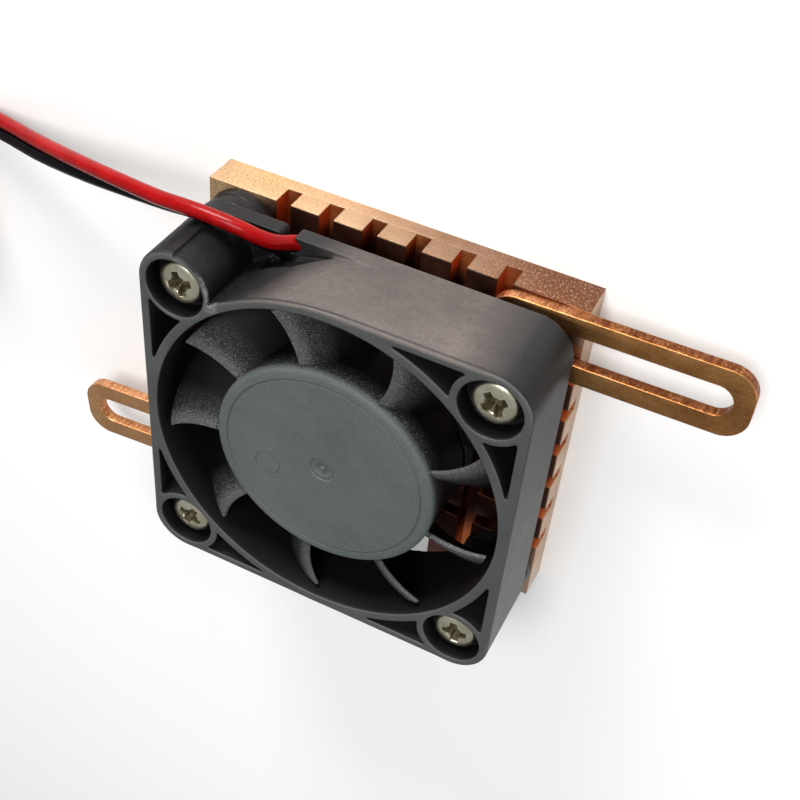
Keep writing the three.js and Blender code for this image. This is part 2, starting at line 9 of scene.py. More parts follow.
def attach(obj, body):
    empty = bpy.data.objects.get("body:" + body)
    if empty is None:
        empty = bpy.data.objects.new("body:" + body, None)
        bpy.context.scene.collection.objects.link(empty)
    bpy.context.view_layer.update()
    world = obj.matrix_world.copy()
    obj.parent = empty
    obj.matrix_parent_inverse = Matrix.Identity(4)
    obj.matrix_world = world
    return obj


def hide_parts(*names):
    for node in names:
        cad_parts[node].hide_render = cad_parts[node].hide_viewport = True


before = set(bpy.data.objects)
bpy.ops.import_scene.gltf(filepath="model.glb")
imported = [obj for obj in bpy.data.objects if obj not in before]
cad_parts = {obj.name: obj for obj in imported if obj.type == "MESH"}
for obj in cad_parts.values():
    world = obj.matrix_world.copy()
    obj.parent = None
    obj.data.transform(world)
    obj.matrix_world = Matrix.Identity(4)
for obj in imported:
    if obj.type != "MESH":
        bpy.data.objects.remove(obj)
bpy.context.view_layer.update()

MM = 0.001
SCENE = bpy.context.scene
rad = math.radians


# ---------------------------------------------------------------- camera
def make_camera():
    data = bpy.data.cameras.new("camera")
    data.lens = 57.013
    data.sensor_width = 36.0
    data.clip_start = 0.005
    data.clip_end = 20.0
    camera = bpy.data.objects.new("camera", data)
    SCENE.collection.objects.link(camera)
    right = Vector((0.89474, 0.07861, -0.43962))
    down = Vector((0.35030, -0.73413, 0.58168))
    forward = Vector((-0.27701, -0.67445, -0.68439))
    turn = Matrix((right, -down, -forward)).transposed()
    camera.matrix_world = Matrix.Translation(Vector((38.82, 89.21, 93.57)) * MM) @ turn.to_4x4()
    SCENE.camera = camera


make_camera()

# ---------------------------------------------------------------- sizes, in mm, as in part.mjs
SIDE = 40.0
SCREW_AT = 16.0
GAP = 0.02  # kept between pieces that touch
SINK_HEIGHT = 4.0
SINK_BASE = 1.6
SINK_HOLE = 1.55
SINK_HOLE_FLOOR = 0.6
GROOVE_WIDTH = 1.6
GROOVE_PITCH = 4.66
GROOVES = 6
ARM_LENGTH = 25.4
ARM_WIDTH = 7.4
ARM_THICKNESS = 1.3
ARM_SLOT = 3.4
ARM_END_WALL = 1.8
ARM_CORNER = 2.7
WASHER_THICKNESS = 1.3
WASHER_RADIUS = 3.9
ARM_WASHER_RADIUS = 2.5
WASHER_HOLE = 1.6
FAN_BACK = 6.6
FAN_FRONT = 16.6
FLANGE_TOP = FAN_BACK + 1.8
CASE_CORNER = 4.0
CASE_WALL = 1.0
BORE = 18.8
RING = 19.8
BOSS = 3.9
BOSS_TL = 3.6
WELL = 3.15
WELL_DEPTH = 2.4
HEAD = 2.3
HEAD_SEAT = FAN_FRONT - WELL_DEPTH + GAP
HEAD_TOP = HEAD_SEAT + 1.6
SCREW_LENGTH = 13.0
SCREW_TURNS = {"tl": 20, "tr": 35, "bl": 62, "br": 8}
SHOULDER_X = 3.0
SHOULDER_RADIUS = (SHOULDER_X ** 2 + (SIDE / 2) ** 2 - RING ** 2) / (SIDE - 2 * RING)
LEAD_WALL = 0.5
SOFT_EDGE = 0.4
CASE_HOLE = 1.6
HUB = 12.0
HUB_TOP = FAN_FRONT - 0.5
HUB_BOTTOM = FAN_BACK + 2.5
BLADES = 9
BLADE_START = 24.5
BLADE_WRAP = 25.0
BLADE_SWEEP = 5.5
BLADE_BOW = 1.6
WIRE = 1.5
PAIR = 1.56
COIL_AT = (-65.0, 4.5)
COIL_IN = 7.4
COIL_OUT = COIL_IN + 2 * PAIR
COIL_LOW = 0.79
COIL_TURNS = 3.25
TIE_ANGLE = 135.0
STRUT_ANGLE = 105.0
STRUT_ROOT = 11.7
CORNERS = {"tl": (-1, 1), "tr": (1, 1), "bl": (-1, -1), "br": (1, -1)}


def screw_place(corner):
    sx, sy = CORNERS[corner]
    return sx * SCREW_AT, sy * SCREW_AT


# ---------------------------------------------------------------- mesh tools, all in mm
def mesh_of(points, faces):
    mesh = bpy.data.meshes.new("part")
    mesh.from_pydata([tuple(p) for p in points], [], faces)
    bm = bmesh.new()
    bm.from_mesh(mesh)
    bmesh.ops.remove_doubles(bm, verts=bm.verts, dist=1e-5)
    bmesh.ops.recalc_face_normals(bm, faces=bm.faces)
    bm.to_mesh(mesh)
    bm.free()
    return mesh


def prism(outline, z0, z1):
    n = len(outline)
    points = [(x, y, z0) for x, y in outline] + [(x, y, z1) for x, y in outline]
    sides = [(i, (i + 1) % n, n + (i + 1) % n, n + i) for i in range(n)]
    return mesh_of(points, sides + [tuple(range(n))[::-1], tuple(range(n, 2 * n))])


def circle(radius, x=0.0, y=0.0, sides=64, start=0.0, stop=360.0):
    full = abs(stop - start - 360.0) < 1e-6
    count = sides if full else sides + 1
    step = (stop - start) / sides
    return [(x + radius * math.cos(rad(start + i * step)), y + radius * math.sin(rad(start + i * step)))
            for i in range(count)]


def cylinder(radius, z0, z1, x=0.0, y=0.0, sides=96):
    return prism(circle(radius, x, y, sides), z0, z1)


def box(x0, x1, y0, y1, z0, z1):
    return prism([(x0, y0), (x1, y0), (x1, y1), (x0, y1)], z0, z1)


def turned_box(angle, x0, x1, half, z0, z1):
    c, s = math.cos(rad(angle)), math.sin(rad(angle))
    corners = [(x0, -half), (x1, -half), (x1, half), (x0, half)]
    return prism([(x * c - y * s, x * s + y * c) for x, y in corners], z0, z1)


def rounded_rectangle(x0, x1, y0, y1, r, sides=16):
    corners = [(x1 - r, y1 - r, 0), (x0 + r, y1 - r, 90), (x0 + r, y0 + r, 180), (x1 - r, y0 + r, 270)]
    return [p for cx, cy, a in corners for p in circle(r, cx, cy, sides, a, a + 90)]


def lathe(profile, sides=128, x=0.0, y=0.0):
    """A closed profile of (radius, z), turned about a vertical axis. It may start and end on the axis."""
    points, rings = [], []
    for r, z in profile:
        if r < 1e-6:
            rings.append([len(points)] * sides)
            points.append((x, y, z))
        else:
            rings.append(list(range(len(points), len(points) + sides)))
            points += [(px, py, z) for px, py in circle(r, x, y, sides)]
    closed = profile[0][0] > 1e-6
    faces = []
    for k in range(len(rings) if closed else len(rings) - 1):
        a, b = rings[k], rings[(k + 1) % len(rings)]
        for i in range(sides):
            j = (i + 1) % sides
            corners = [a[i], a[j], b[j], b[i]]
            face = tuple(dict.fromkeys(corners))
            if len(face) > 2:
                faces.append(face)
    return mesh_of(points, faces)


def ring(inner, outer, z0, z1, sides=128, x=0.0, y=0.0):
    return lathe([(inner, z0), (outer, z0), (outer, z1), (inner, z1)], sides, x, y)


def rounded(profile, radii, steps=4):
    """The profile again, with corner k rounded by radii[k]."""
    n, out = len(profile), []
    for k, (p, r) in enumerate(zip(profile, radii)):
        if r <= 0:
            out.append(p)
            continue
        here = Vector(p)
        a = (Vector(profile[k - 1]) - here).normalized()
        b = (Vector(profile[(k + 1) % n]) - here).normalized()
        half = max(1e-3, a.angle(b) / 2)
        reach = r / math.tan(half)
        centre = here + (a + b).normalized() * (r / math.sin(half))
        first, last = here + a * reach - centre, here + b * reach - centre
        for i in range(steps + 1):
            mix = (first * (1 - i / steps) + last * (i / steps)).normalized() * first.length
            out.append(tuple(centre + mix))
    return out


def temporary(mesh):
    obj = bpy.data.objects.new("temporary", mesh)
    SCENE.collection.objects.link(obj)
    return obj


def evaluated(obj):
    depsgraph = bpy.context.evaluated_depsgraph_get()
    return bpy.data.meshes.new_from_object(obj.evaluated_get(depsgraph))


def boolean(base, tools, operation):
    """base joined with each tool (UNION), or cut by each (DIFFERENCE)."""
    obj = temporary(base)
    others = [temporary(tool) for tool in tools]
    for other in others:
        modifier = obj.modifiers.new("boolean", "BOOLEAN")
        modifier.solver = "MANIFOLD"
        modifier.operation = operation
        modifier.object = other
    result = evaluated(obj)
    for other in [obj, *others]:
        bpy.data.objects.remove(other)
    return result


def union(base, *tools):
    return boolean(base, tools, "UNION")


def cut(base, *tools):
    return boolean(base, tools, "DIFFERENCE")


def remeshed(mesh, voxel, smooth, keep):
    """The solid again, softened over about one voxel. keep is the share of faces left at the end."""
    obj = temporary(mesh)
    remesh = obj.modifiers.new("remesh", "REMESH")
    remesh.mode = "VOXEL"
    remesh.voxel_size = voxel
    relax = obj.modifiers.new("smooth", "SMOOTH")
    relax.factor = 0.5
    relax.iterations = smooth
    thin = obj.modifiers.new("decimate", "DECIMATE")
    thin.ratio = keep
    result = evaluated(obj)
    bpy.data.objects.remove(obj)
    return result


def bevelled(mesh, width, segments=2, angle=30, flat=1.0):
    """Flat faces joined up, then each edge sharper than angle rounded."""
    bm = bmesh.new()
    bm.from_mesh(mesh)
    bmesh.ops.remove_doubles(bm, verts=bm.verts, dist=1e-4)
    bmesh.ops.dissolve_limit(bm, angle_limit=rad(flat), verts=bm.verts, edges=bm.edges)
    bm.to_mesh(mesh)
    bm.free()
    obj = temporary(mesh)
    bevel = obj.modifiers.new("bevel", "BEVEL")
    bevel.width = width
    bevel.segments = segments
    bevel.limit_method = "ANGLE"
    bevel.angle_limit = rad(angle)
    bevel.miter_outer = "MITER_ARC"
    result = evaluated(obj)
    bpy.data.objects.remove(obj)
    return result


def moved(mesh, x=0.0, y=0.0, z=0.0, turn=0.0):
    mesh.transform(Matrix.Translation((x, y, z)) @ Matrix.Rotation(rad(turn), 4, "Z"))
    return mesh


def piece(name, mesh, material, body, nodes, smooth_angle=35):
    """A finished piece, in metres: shaded smooth below smooth_angle, on its body, in place of CAD nodes."""
    mesh.transform(Matrix.Scale(MM, 4))
    mesh.name = name
    mesh.materials.clear()
    mesh.materials.append(material)
    mesh.polygons.foreach_set("use_smooth", [True] * len(mesh.polygons))
    mesh.set_sharp_from_angle(angle=rad(smooth_angle))
    obj = bpy.data.objects.new(name, mesh)
    SCENE.collection.objects.link(obj)
    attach(obj, body)
    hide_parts(*nodes)
    return obj


# ---------------------------------------------------------------- materials
class Shader:
    """One material's node tree, with short calls to add and join nodes. Places in it are in metres."""

    def __init__(self, name, **sockets):
        self.material = bpy.data.materials.new(name)
        self.material.use_nodes = True
        self.tree = self.material.node_tree
        self.surface = self.tree.nodes["Principled BSDF"]
        self.set(self.surface, sockets)
        self.place = self.node("ShaderNodeTexCoord").outputs["Object"]

    def set(self, node, sockets):
        """Links a value into each socket, or sets it there. _0 is the socket numbered 0."""
        for key, value in sockets.items():
            socket = node.inputs[int(key[1:]) if key[0] == "_" else key.replace("_", " ")]
            if isinstance(value, bpy.types.NodeSocket):
                self.tree.links.new(value, socket)
            elif isinstance(value, tuple) and len(value) == 3 and socket.type == "RGBA":
                socket.default_value = (*value, 1.0)
            else:
                socket.default_value = value

    def node(self, kind, settings=None, **sockets):
        node = self.tree.nodes.new(kind)
        for key, value in (settings or {}).items():
            setattr(node, key, value)
        self.set(node, sockets)
        return node

    def stretched(self, x, y, z):
        return self.node("ShaderNodeMapping", Vector=self.place, Scale=(x, y, z)).outputs[0]

    def noise(self, scale, detail=3.0, roughness=0.5, place=None):
        return self.node("ShaderNodeTexNoise", Vector=place or self.place, Scale=scale, Detail=detail,
                         Roughness=roughness).outputs["Fac"]

    def spread(self, value, low, high, to_low=0.0, to_high=1.0):
        """to_low up to low, to_high from high on, and even between them."""
        node = self.node("ShaderNodeMapRange", Value=value)
        for key, number in zip(("From Min", "From Max", "To Min", "To Max"), (low, high, to_low, to_high)):
            node.inputs[key].default_value = number
        return node.outputs[0]

    def fall(self, value, low, high):
        return self.spread(value, low, high, 1.0, 0.0)

    def ramp(self, value, *stops):
        node = self.node("ShaderNodeValToRGB", Fac=value)
        elements = node.color_ramp.elements
        while len(elements) < len(stops):
            elements.new(0.5)
        for element, (at, colour) in zip(elements, stops):
            element.position = at
            element.color = (*colour, 1.0)
        return node.outputs[0]

    def mix(self, share, first, second):
        return self.node("ShaderNodeMix", {"data_type": "RGBA"}, _0=share, _6=first, _7=second).outputs[2]

    def layers(self, colour, *over):
        """colour, with each (share, colour) of over laid on it in turn."""
        for share, other in over:
            colour = self.mix(share, colour, other)
        return colour

    def math(self, operation, first, *others):
        """The operation on first alone, or on first and each of the others in turn."""
        for other in others or (0.0,):
            first = self.node("ShaderNodeMath", {"operation": operation}, _0=first, _1=other).outputs[0]
        return first

    def times(self, *values):
        return self.math("MULTIPLY", *values)

    def plus(self, *values):
        return self.math("ADD", *values)

    def most(self, *values):
        return self.math("MAXIMUM", *values)

    def blend(self, *parts):
        """The sum of each value times its weight."""
        return self.plus(*[self.times(value, weight) for value, weight in parts])

    def part(self, axis):
        return self.node("ShaderNodeSeparateXYZ", Vector=self.place).outputs[axis]

    def radius(self):
        """Distance from the fan's axis."""
        return self.length(self.part(0), self.part(1))

    def from_screw(self):
        """Distance from the nearest screw's axis."""
        return self.length(*[self.math("SUBTRACT", self.math("ABSOLUTE", self.part(axis)), SCREW_AT * MM)
                             for axis in (0, 1)])

    def length(self, x, y):
        return self.math("SQRT", self.plus(self.times(x, x), self.times(y, y)))

    def bump(self, height, strength, distance, after=None):
        node = self.node("ShaderNodeBump", Height=height, Strength=strength, Distance=distance)
        if after:
            self.tree.links.new(after, node.inputs["Normal"])
        return node.outputs[0]

    def finish(self, **sockets):
        self.set(self.surface, sockets)
        return self.material


def sink_copper():
    """Milled copper: golden with painted light towards its -X end, browned with painted shade towards +X on
    its +Y and -Y sides, orange with painted reflection on the groove walls, and dark with painted shade under
    the fan.
    """
    s = Shader("sink_copper", Metallic=1.0)
    x, y, z, radius = s.part(0), s.part(1), s.part(2), s.radius()
    tool_lines = s.noise(14.0, 4.0, 0.7, s.stretched(60.0, 900.0, 900.0))
    grain = s.noise(7000.0, 2.0, 0.6)
    tone = s.blend((tool_lines, 0.35), (s.noise(160.0, 4.0, 0.6), 0.65))
    bare = s.ramp(tone, (0.36, (0.36, 0.21, 0.12)), (0.52, (0.47, 0.32, 0.215)), (0.66, (0.58, 0.43, 0.31)))
    bright = s.times(s.spread(grain, 0.5, 0.72), 0.6)
    pits = s.times(s.spread(s.noise(4200.0, 2.0, 0.55), 0.62, 0.72), 0.6)

    # golden is painted light: the copper made lighter towards -X, keeping its real dark specks
    golden = s.spread(x, -0.016, 0.006, 0.85, 0.0)
    specks = s.spread(s.noise(5200.0, 3.0, 0.65), 0.53, 0.62, 0.0, 0.85)
    wall = (SIDE / 2 - 0.1) * MM
    aside, along = s.math("ABSOLUTE", x), s.math("ABSOLUTE", y)
    # painted shade: the +Y and -Y sides darkened to brown towards +X, streaked along the tool lines
    shaded_end = s.times(s.spread(along, wall, wall + 0.00005), s.spread(x, -0.006, 0.016, 0.0, 0.95))
    ticks = s.times(s.spread(s.noise(5200.0, 3.0, 0.75, s.stretched(1.0, 1.0, 0.6)), 0.54, 0.64), shaded_end, 0.7)

    # inside the outer walls: painted reflection turning the groove walls orange, and painted shade on the
    # tops and floors that the fan covers
    within = s.fall(s.most(aside, along), wall - 0.00005, wall)
    groove_reflection = s.times(within, s.fall(z, (SINK_HEIGHT - 0.15) * MM, (SINK_HEIGHT - 0.08) * MM),
                      s.spread(z, 0.0001, 0.0002))
    # painted shade: the tops near the fan, the middle under it and its -Y half are darkened
    near = s.most(s.fall(radius, 0.0225, 0.0255),
                  s.times(s.spread(x, -0.0125, -0.011), s.fall(x, 0.0175, 0.0185)))
    tops = s.times(within, near, s.spread(z, 0.00385, 0.00392))
    above_floor = s.spread(z, 0.0012, 0.0015)
    middle = s.times(within, s.fall(radius, 0.0178, 0.0198), above_floor)
    low_half = s.times(within, s.spread(radius, 0.0186, 0.0204, 0.85, 0.0), above_floor,
                       s.fall(y, 0.0, 0.004))
    colour = s.layers(
        bare, (bright, (0.696, 0.516, 0.372)), (pits, (0.126, 0.0735, 0.042)),
        (golden, s.mix(specks, (0.84, 0.56, 0.31), (0.24, 0.1, 0.04))),
        (shaded_end, s.ramp(tool_lines, (0.35, (0.08, 0.022, 0.01)), (0.65, (0.26, 0.1, 0.042)))),
        (ticks, (0.8, 0.52, 0.35)),
        (groove_reflection, s.ramp(tone, (0.38, (0.42, 0.11, 0.03)), (0.64, (0.75, 0.26, 0.09)))),
        (s.times(s.most(tops, middle, low_half), 0.95), (0.09, 0.025, 0.018)),
    )
    return s.finish(Base_Color=colour, Normal=s.bump(grain, 0.25, 0.00002, s.bump(tool_lines, 0.25, 0.00004)),
                    Roughness=s.spread(s.blend((grain, 0.5), (tool_lines, 0.5)), 0.35, 0.65, 0.28, 0.5))


def arm_copper():
    """Rolled copper strip: brushed faces, golden brown on one arm and paler on the other, and sawn edges."""
    s = Shader("arm_copper", Metallic=1.0)
    x, z = s.part(0), s.part(2)
    brushed = s.noise(14.0, 4.0, 0.7, s.stretched(45.0, 700.0, 700.0))
    grain = s.noise(3800.0, 3.0, 0.7)
    tone = s.blend((brushed, 0.3), (s.noise(170.0, 4.0, 0.65), 0.45), (grain, 0.25))
    brown = s.ramp(tone, (0.38, (0.25, 0.1, 0.03)), (0.52, (0.42, 0.2, 0.07)), (0.64, (0.56, 0.3, 0.12)))
    pale = s.ramp(tone, (0.38, (0.5, 0.24, 0.1)), (0.52, (0.66, 0.36, 0.17)), (0.64, (0.8, 0.5, 0.27)))
    face = s.mix(s.fall(x, -0.01, 0.01), brown, pale)

    low, high = (SINK_HEIGHT + GAP) * MM, (SINK_HEIGHT + ARM_THICKNESS - GAP) * MM
    sawn = s.times(s.spread(z, low + 0.00006, low + 0.00012), s.fall(z, high - 0.00012, high - 0.00006))
    ribs = s.blend((s.noise(9.0, 3.0, 0.65, s.stretched(330.0, 330.0, 60.0)), 0.45), (grain, 0.55))
    dark = s.ramp(ribs, (0.4, (0.11, 0.028, 0.008)), (0.52, (0.24, 0.08, 0.025)), (0.62, (0.42, 0.18, 0.07)))
    bright = s.ramp(ribs, (0.4, (0.42, 0.16, 0.06)), (0.52, (0.66, 0.3, 0.13)), (0.62, (0.85, 0.5, 0.28)))
    torn = s.times(s.spread(s.noise(420.0, 3.0, 0.7), 0.6, 0.7), 0.5)
    edge = s.layers(dark, (s.spread(x, 0.0125, 0.0215, 0.9, 0.0), bright), (torn, (0.8, 0.5, 0.32)))
    normal = s.bump(grain, 0.3, 0.00002, s.bump(brushed, 0.25, 0.00003))
    normal = s.bump(s.times(ribs, sawn), 0.5, 0.00008, normal)
    return s.finish(Base_Color=s.mix(sawn, face, edge), Normal=normal,
                    Roughness=s.plus(s.spread(tone, 0.35, 0.65, 0.3, 0.46), s.times(sawn, 0.08)))


def plastic(name, colour, lighter, rough, grain_size=9000.0, specular=0.5):
    """Moulded plastic: fine spark-eroded grain, faint flow marks and a few dust-covered, worn places."""
    s = Shader(name, Specular_IOR_Level=specular)
    grain = s.noise(grain_size, 2.0, 0.6)
    cloud = s.noise(120.0, 4.0, 0.6)
    dust = s.times(s.spread(s.noise(900.0, 3.0, 0.7), 0.6, 0.85), 0.12)
    tone = s.mix(dust, s.ramp(cloud, (0.35, colour), (0.7, lighter)),
                 tuple(min(1.0, c * 2.2 + 0.03) for c in lighter))
    return s.finish(Base_Color=tone, Normal=s.bump(cloud, 0.2, 0.00008, s.bump(grain, 0.35, 0.00001)),
                    Roughness=s.spread(s.blend((grain, 0.4), (cloud, 0.6)), 0.3, 0.7, *rough))


def metal(name, colour, darker, rough=(0.2, 0.4), grain_size=2500.0):
    """Bright metal with a fine grain and faint clouds."""
    s = Shader(name, Metallic=1.0)
    grain = s.noise(grain_size, 4.0, 0.65)
    tone = s.ramp(s.noise(400.0, 3.0, 0.6), (0.3, darker), (0.65, colour))
    return s.finish(Base_Color=tone, Roughness=s.spread(grain, 0.3, 0.7, *rough),
                    Normal=s.bump(grain, 0.3, 0.00001))


def wire_insulation(name, colour, scuffed, specular):
    """Extruded PVC: glossy, slightly uneven and slightly scuffed."""
    s = Shader(name, Specular_IOR_Level=specular)
    waves = s.noise(500.0, 3.0, 0.5)
    scuff = s.times(s.spread(s.noise(2600.0, 3.0, 0.7), 0.58, 0.8), 0.25)
    tone = s.mix(scuff, s.ramp(waves, (0.3, colour), (0.7, scuffed)),
                 tuple(min(1.0, c * 1.4 + 0.02) for c in scuffed))
    return s.finish(Base_Color=tone, Roughness=s.spread(waves, 0.3, 0.7, 0.18, 0.3),
                    Normal=s.bump(waves, 0.1, 0.00003))


def case_plastic():
    """Black glass-filled plastic: painted sheen and painted light on two outer walls, a lighter front with
    darker other faces as painted light and shade, and painted shade in the bore, wells and other hollows.
    """
    s = Shader("case_plastic", Specular_IOR_Level=0.26)
    x, y, z, radius, from_screw = s.part(0), s.part(1), s.part(2), s.radius(), s.from_screw()
    grain = s.noise(8500.0, 2.0, 0.6)
    mottle = s.noise(2300.0, 4.0, 0.7)
    cloud = s.noise(120.0, 4.0, 0.6)
    # painted light and shade: the front face a lighter grey, every other face a darker one
    front = s.spread(z, (FAN_FRONT - 0.2) * MM, (FAN_FRONT - 0.08) * MM)
    behind = s.fall(front, 0.0, 1.0)
    front_lit_rest_shaded = s.mix(front, s.ramp(cloud, (0.35, (0.01, 0.01, 0.011)), (0.7, (0.018, 0.018, 0.019))),
                  s.ramp(cloud, (0.35, (0.052, 0.056, 0.055)), (0.7, (0.07, 0.076, 0.074))))
    flecks = s.times(s.spread(s.noise(6000.0, 2.0, 0.6), 0.55, 0.75), s.spread(front, 0.0, 1.0, 0.07, 0.16))

    # painted sheen on the +Y side with the ring beside the lead, and painted light on the +X side, both in
    # mottled streaks
    sheen_streaks = s.noise(210.0, 4.0, 0.65, s.stretched(1.0, 1.0, 1.8))
    sheen_mottle = s.times(s.spread(sheen_streaks, 0.3, 0.65, 0.65, 1.0), s.spread(mottle, 0.35, 0.65, 0.7, 1.0))
    outside = s.most(s.spread(y, 0.0195, 0.0197),
                     s.times(s.fall(x, 0.002, 0.003), s.spread(radius, 0.0194, 0.0196)))
    slant = s.plus(x, s.times(s.math("SUBTRACT", z, 0.0085), 0.42))
    lead_side_sheen = s.times(outside, s.spread(y, 0.0165, 0.017), s.fall(x, 0.0115, 0.017),
                        s.spread(slant, -0.0058, -0.0022), s.spread(x, -0.004, 0.012, 0.8, 1.0),
                        s.spread(z, 0.008, 0.0155, 0.72, 1.0), sheen_mottle)
    # painted light: the +X wall lightened to greenish grey, fading out towards +Y
    wall = (SIDE / 2 - 0.12) * MM
    right_side_light = s.times(s.spread(x, wall, wall + 0.00006), s.fall(y, -0.016, 0.0115), sheen_mottle)

    # painted shade: the bore and the screw wells darkened
    bore = s.times(s.fall(radius, (BORE + 0.1) * MM, (BORE + 0.25) * MM), behind)
    wells = s.times(s.fall(from_screw, (WELL + 0.05) * MM, (WELL + 0.12) * MM),
                    s.fall(z, (FAN_FRONT - 0.22) * MM, (FAN_FRONT - 0.12) * MM), 0.9)
    # painted shade on the top-left boss and the ring beside the lead, mottled
    by_lead = s.times(s.fall(x, -0.0105, -0.0085), s.spread(y, 0.0125, 0.0135), behind,
                      s.spread(mottle, 0.42, 0.62, 0.9, 0.45))
    # painted shade: a dark band along the rounded front edges
    rim = s.times(s.spread(z, (FAN_FRONT - 0.5) * MM, (FAN_FRONT - 0.4) * MM),
                  s.fall(z, (FAN_FRONT - 0.22) * MM, (FAN_FRONT - 0.14) * MM), 0.75)
    # painted highlight along the front edge of the top-left boss, mottled
    rim_highlight = s.times(s.spread(from_screw, 0.00342, 0.00352), s.spread(x, -0.0138, -0.0126),
                     s.spread(y, 0.0146, 0.0152), s.fall(x, -0.0118, -0.0112), s.spread(z, 0.0161, 0.01625),
                     s.spread(mottle, 0.35, 0.6), 0.5)
    # painted shade in the rounded top-right corner
    corner = s.times(s.spread(x, 0.0166, 0.0188), s.spread(y, 0.0135, 0.0175), behind, 0.85)
    # painted shade in the pocket that the lead passes through
    pocket = s.times(s.spread(radius, 0.019, 0.01905), s.fall(radius, 0.0196, 0.0197),
                     s.fall(x, -0.0034, -0.003), s.spread(y, 0.014, 0.0145), s.fall(z, 0.0105, 0.0109))
    tone = s.layers(
        front_lit_rest_shaded, (lead_side_sheen, (0.135, 0.113, 0.105)), (right_side_light, (0.095, 0.102, 0.088)),
        (flecks, (0.22, 0.22, 0.21)), (bore, (0.006, 0.005, 0.006)), (wells, (0.003, 0.003, 0.0035)),
        (by_lead, (0.003, 0.0026, 0.0034)), (rim, (0.012, 0.0115, 0.012)), (rim_highlight, (0.3, 0.3, 0.31)),
        (corner, (0.003, 0.003, 0.0032)), (pocket, (0.003, 0.003, 0.003)),
    )
    normal = s.bump(mottle, 0.25, 0.00003, s.bump(cloud, 0.2, 0.00008, s.bump(grain, 0.4, 0.000012)))
    return s.finish(Base_Color=tone, Normal=normal,
                    Roughness=s.spread(s.blend((grain, 0.4), (cloud, 0.6)), 0.3, 0.7, 0.42, 0.58))


def impeller_plastic():
    """One moulding: a greenish-grey satin cap on the hub, and blades painted darker as shade, with painted
    light on their top edges, painted shade fading them into the fan, and coarser flecks partly painted as
    glints.
    """
    s = Shader("impeller_plastic", Specular_IOR_Level=0.14)
    z, radius = s.part(2), s.radius()
    grain = s.noise(6500.0, 2.0, 0.6)
    cloud = s.noise(110.0, 4.0, 0.6)
    # painted shade: all but the hub's cap coloured darker, though it is one moulding
    blade = s.most(s.spread(radius, 0.01185, 0.01225), s.fall(z, 0.0151, 0.0157))
    # painted light along the blades' top edges
    blade_top_light = s.times(blade, s.spread(z, 0.0149, 0.0155), s.spread(radius, 0.0122, 0.0125), 0.85)
    # painted shade growing deeper into the fan
    deep = s.times(blade, s.fall(z, 0.0133, 0.0155))
    # the grain's flecks, partly painted as glints: brighter on the blades and fading with the painted shade
    flecks = s.times(s.spread(s.noise(7600.0, 2.0, 0.7), 0.53, 0.67),
                     s.math("SUBTRACT", 0.6, s.times(deep, 0.6)))
    tone = s.layers(
        s.ramp(cloud, (0.35, (0.074, 0.09, 0.086)), (0.7, (0.1, 0.118, 0.112))),
        (blade, s.ramp(cloud, (0.35, (0.012, 0.012, 0.014)), (0.7, (0.022, 0.022, 0.025)))),
        (blade_top_light, (0.07, 0.072, 0.073)), (s.times(deep, 0.95), (0.0025, 0.002, 0.0025)),
        (flecks, s.mix(blade, (0.14, 0.155, 0.15), (0.27, 0.27, 0.29))),
    )
    return s.finish(Base_Color=tone, Normal=s.bump(cloud, 0.15, 0.00008, s.bump(grain, 0.6, 0.00002)),
                    Roughness=s.spread(s.blend((grain, 0.5), (cloud, 0.5)), 0.3, 0.7, 0.46, 0.62))


def screw_nickel():
    """Yellowish nickel plate, with painted shade, dark and dull, in the cross recess."""
    s = Shader("screw_nickel")
    grain = s.noise(2600.0, 4.0, 0.65)
    # painted shade: the cross recess darkened and dulled
    recess = s.times(s.fall(s.part(2), (HEAD_TOP - 0.24) * MM, (HEAD_TOP - 0.12) * MM),
                     s.fall(s.from_screw(), 0.00142, 0.00152))
    plate = s.ramp(s.noise(500.0, 3.0, 0.6), (0.3, (0.46, 0.43, 0.31)), (0.65, (0.66, 0.63, 0.5)))
    recess_shade = s.ramp(grain, (0.35, (0.035, 0.028, 0.012)), (0.7, (0.14, 0.115, 0.05)))
    return s.finish(Base_Color=s.mix(recess, plate, recess_shade), Metallic=s.spread(recess, 0.0, 1.0, 1.0, 0.35),
                    Roughness=s.plus(s.spread(grain, 0.3, 0.7, 0.24, 0.4), s.times(recess, 0.2)),
                    Normal=s.bump(grain, 0.3, 0.00001))


def enamelled_wire():
    """Close turns of lacquered copper wire lying around each winding."""
    s = Shader("enamelled_wire", Metallic=0.8, Coat_Weight=0.5, Coat_Roughness=0.15)
    turns = s.spread(s.math("SINE", s.times(s.radius(), 42000.0)), -1.0, 1.0)
    uneven = s.noise(700.0, 3.0, 0.6)
    tone = s.ramp(uneven, (0.3, (0.42, 0.16, 0.045)), (0.7, (0.62, 0.27, 0.09)))
    tone = s.mix(s.spread(turns, 0.0, 0.4, 0.7, 0.0), tone, (0.1, 0.03, 0.01))
    return s.finish(Base_Color=tone, Roughness=s.spread(uneven, 0.3, 0.7, 0.25, 0.4),
                    Normal=s.bump(turns, 0.8, 0.00005))


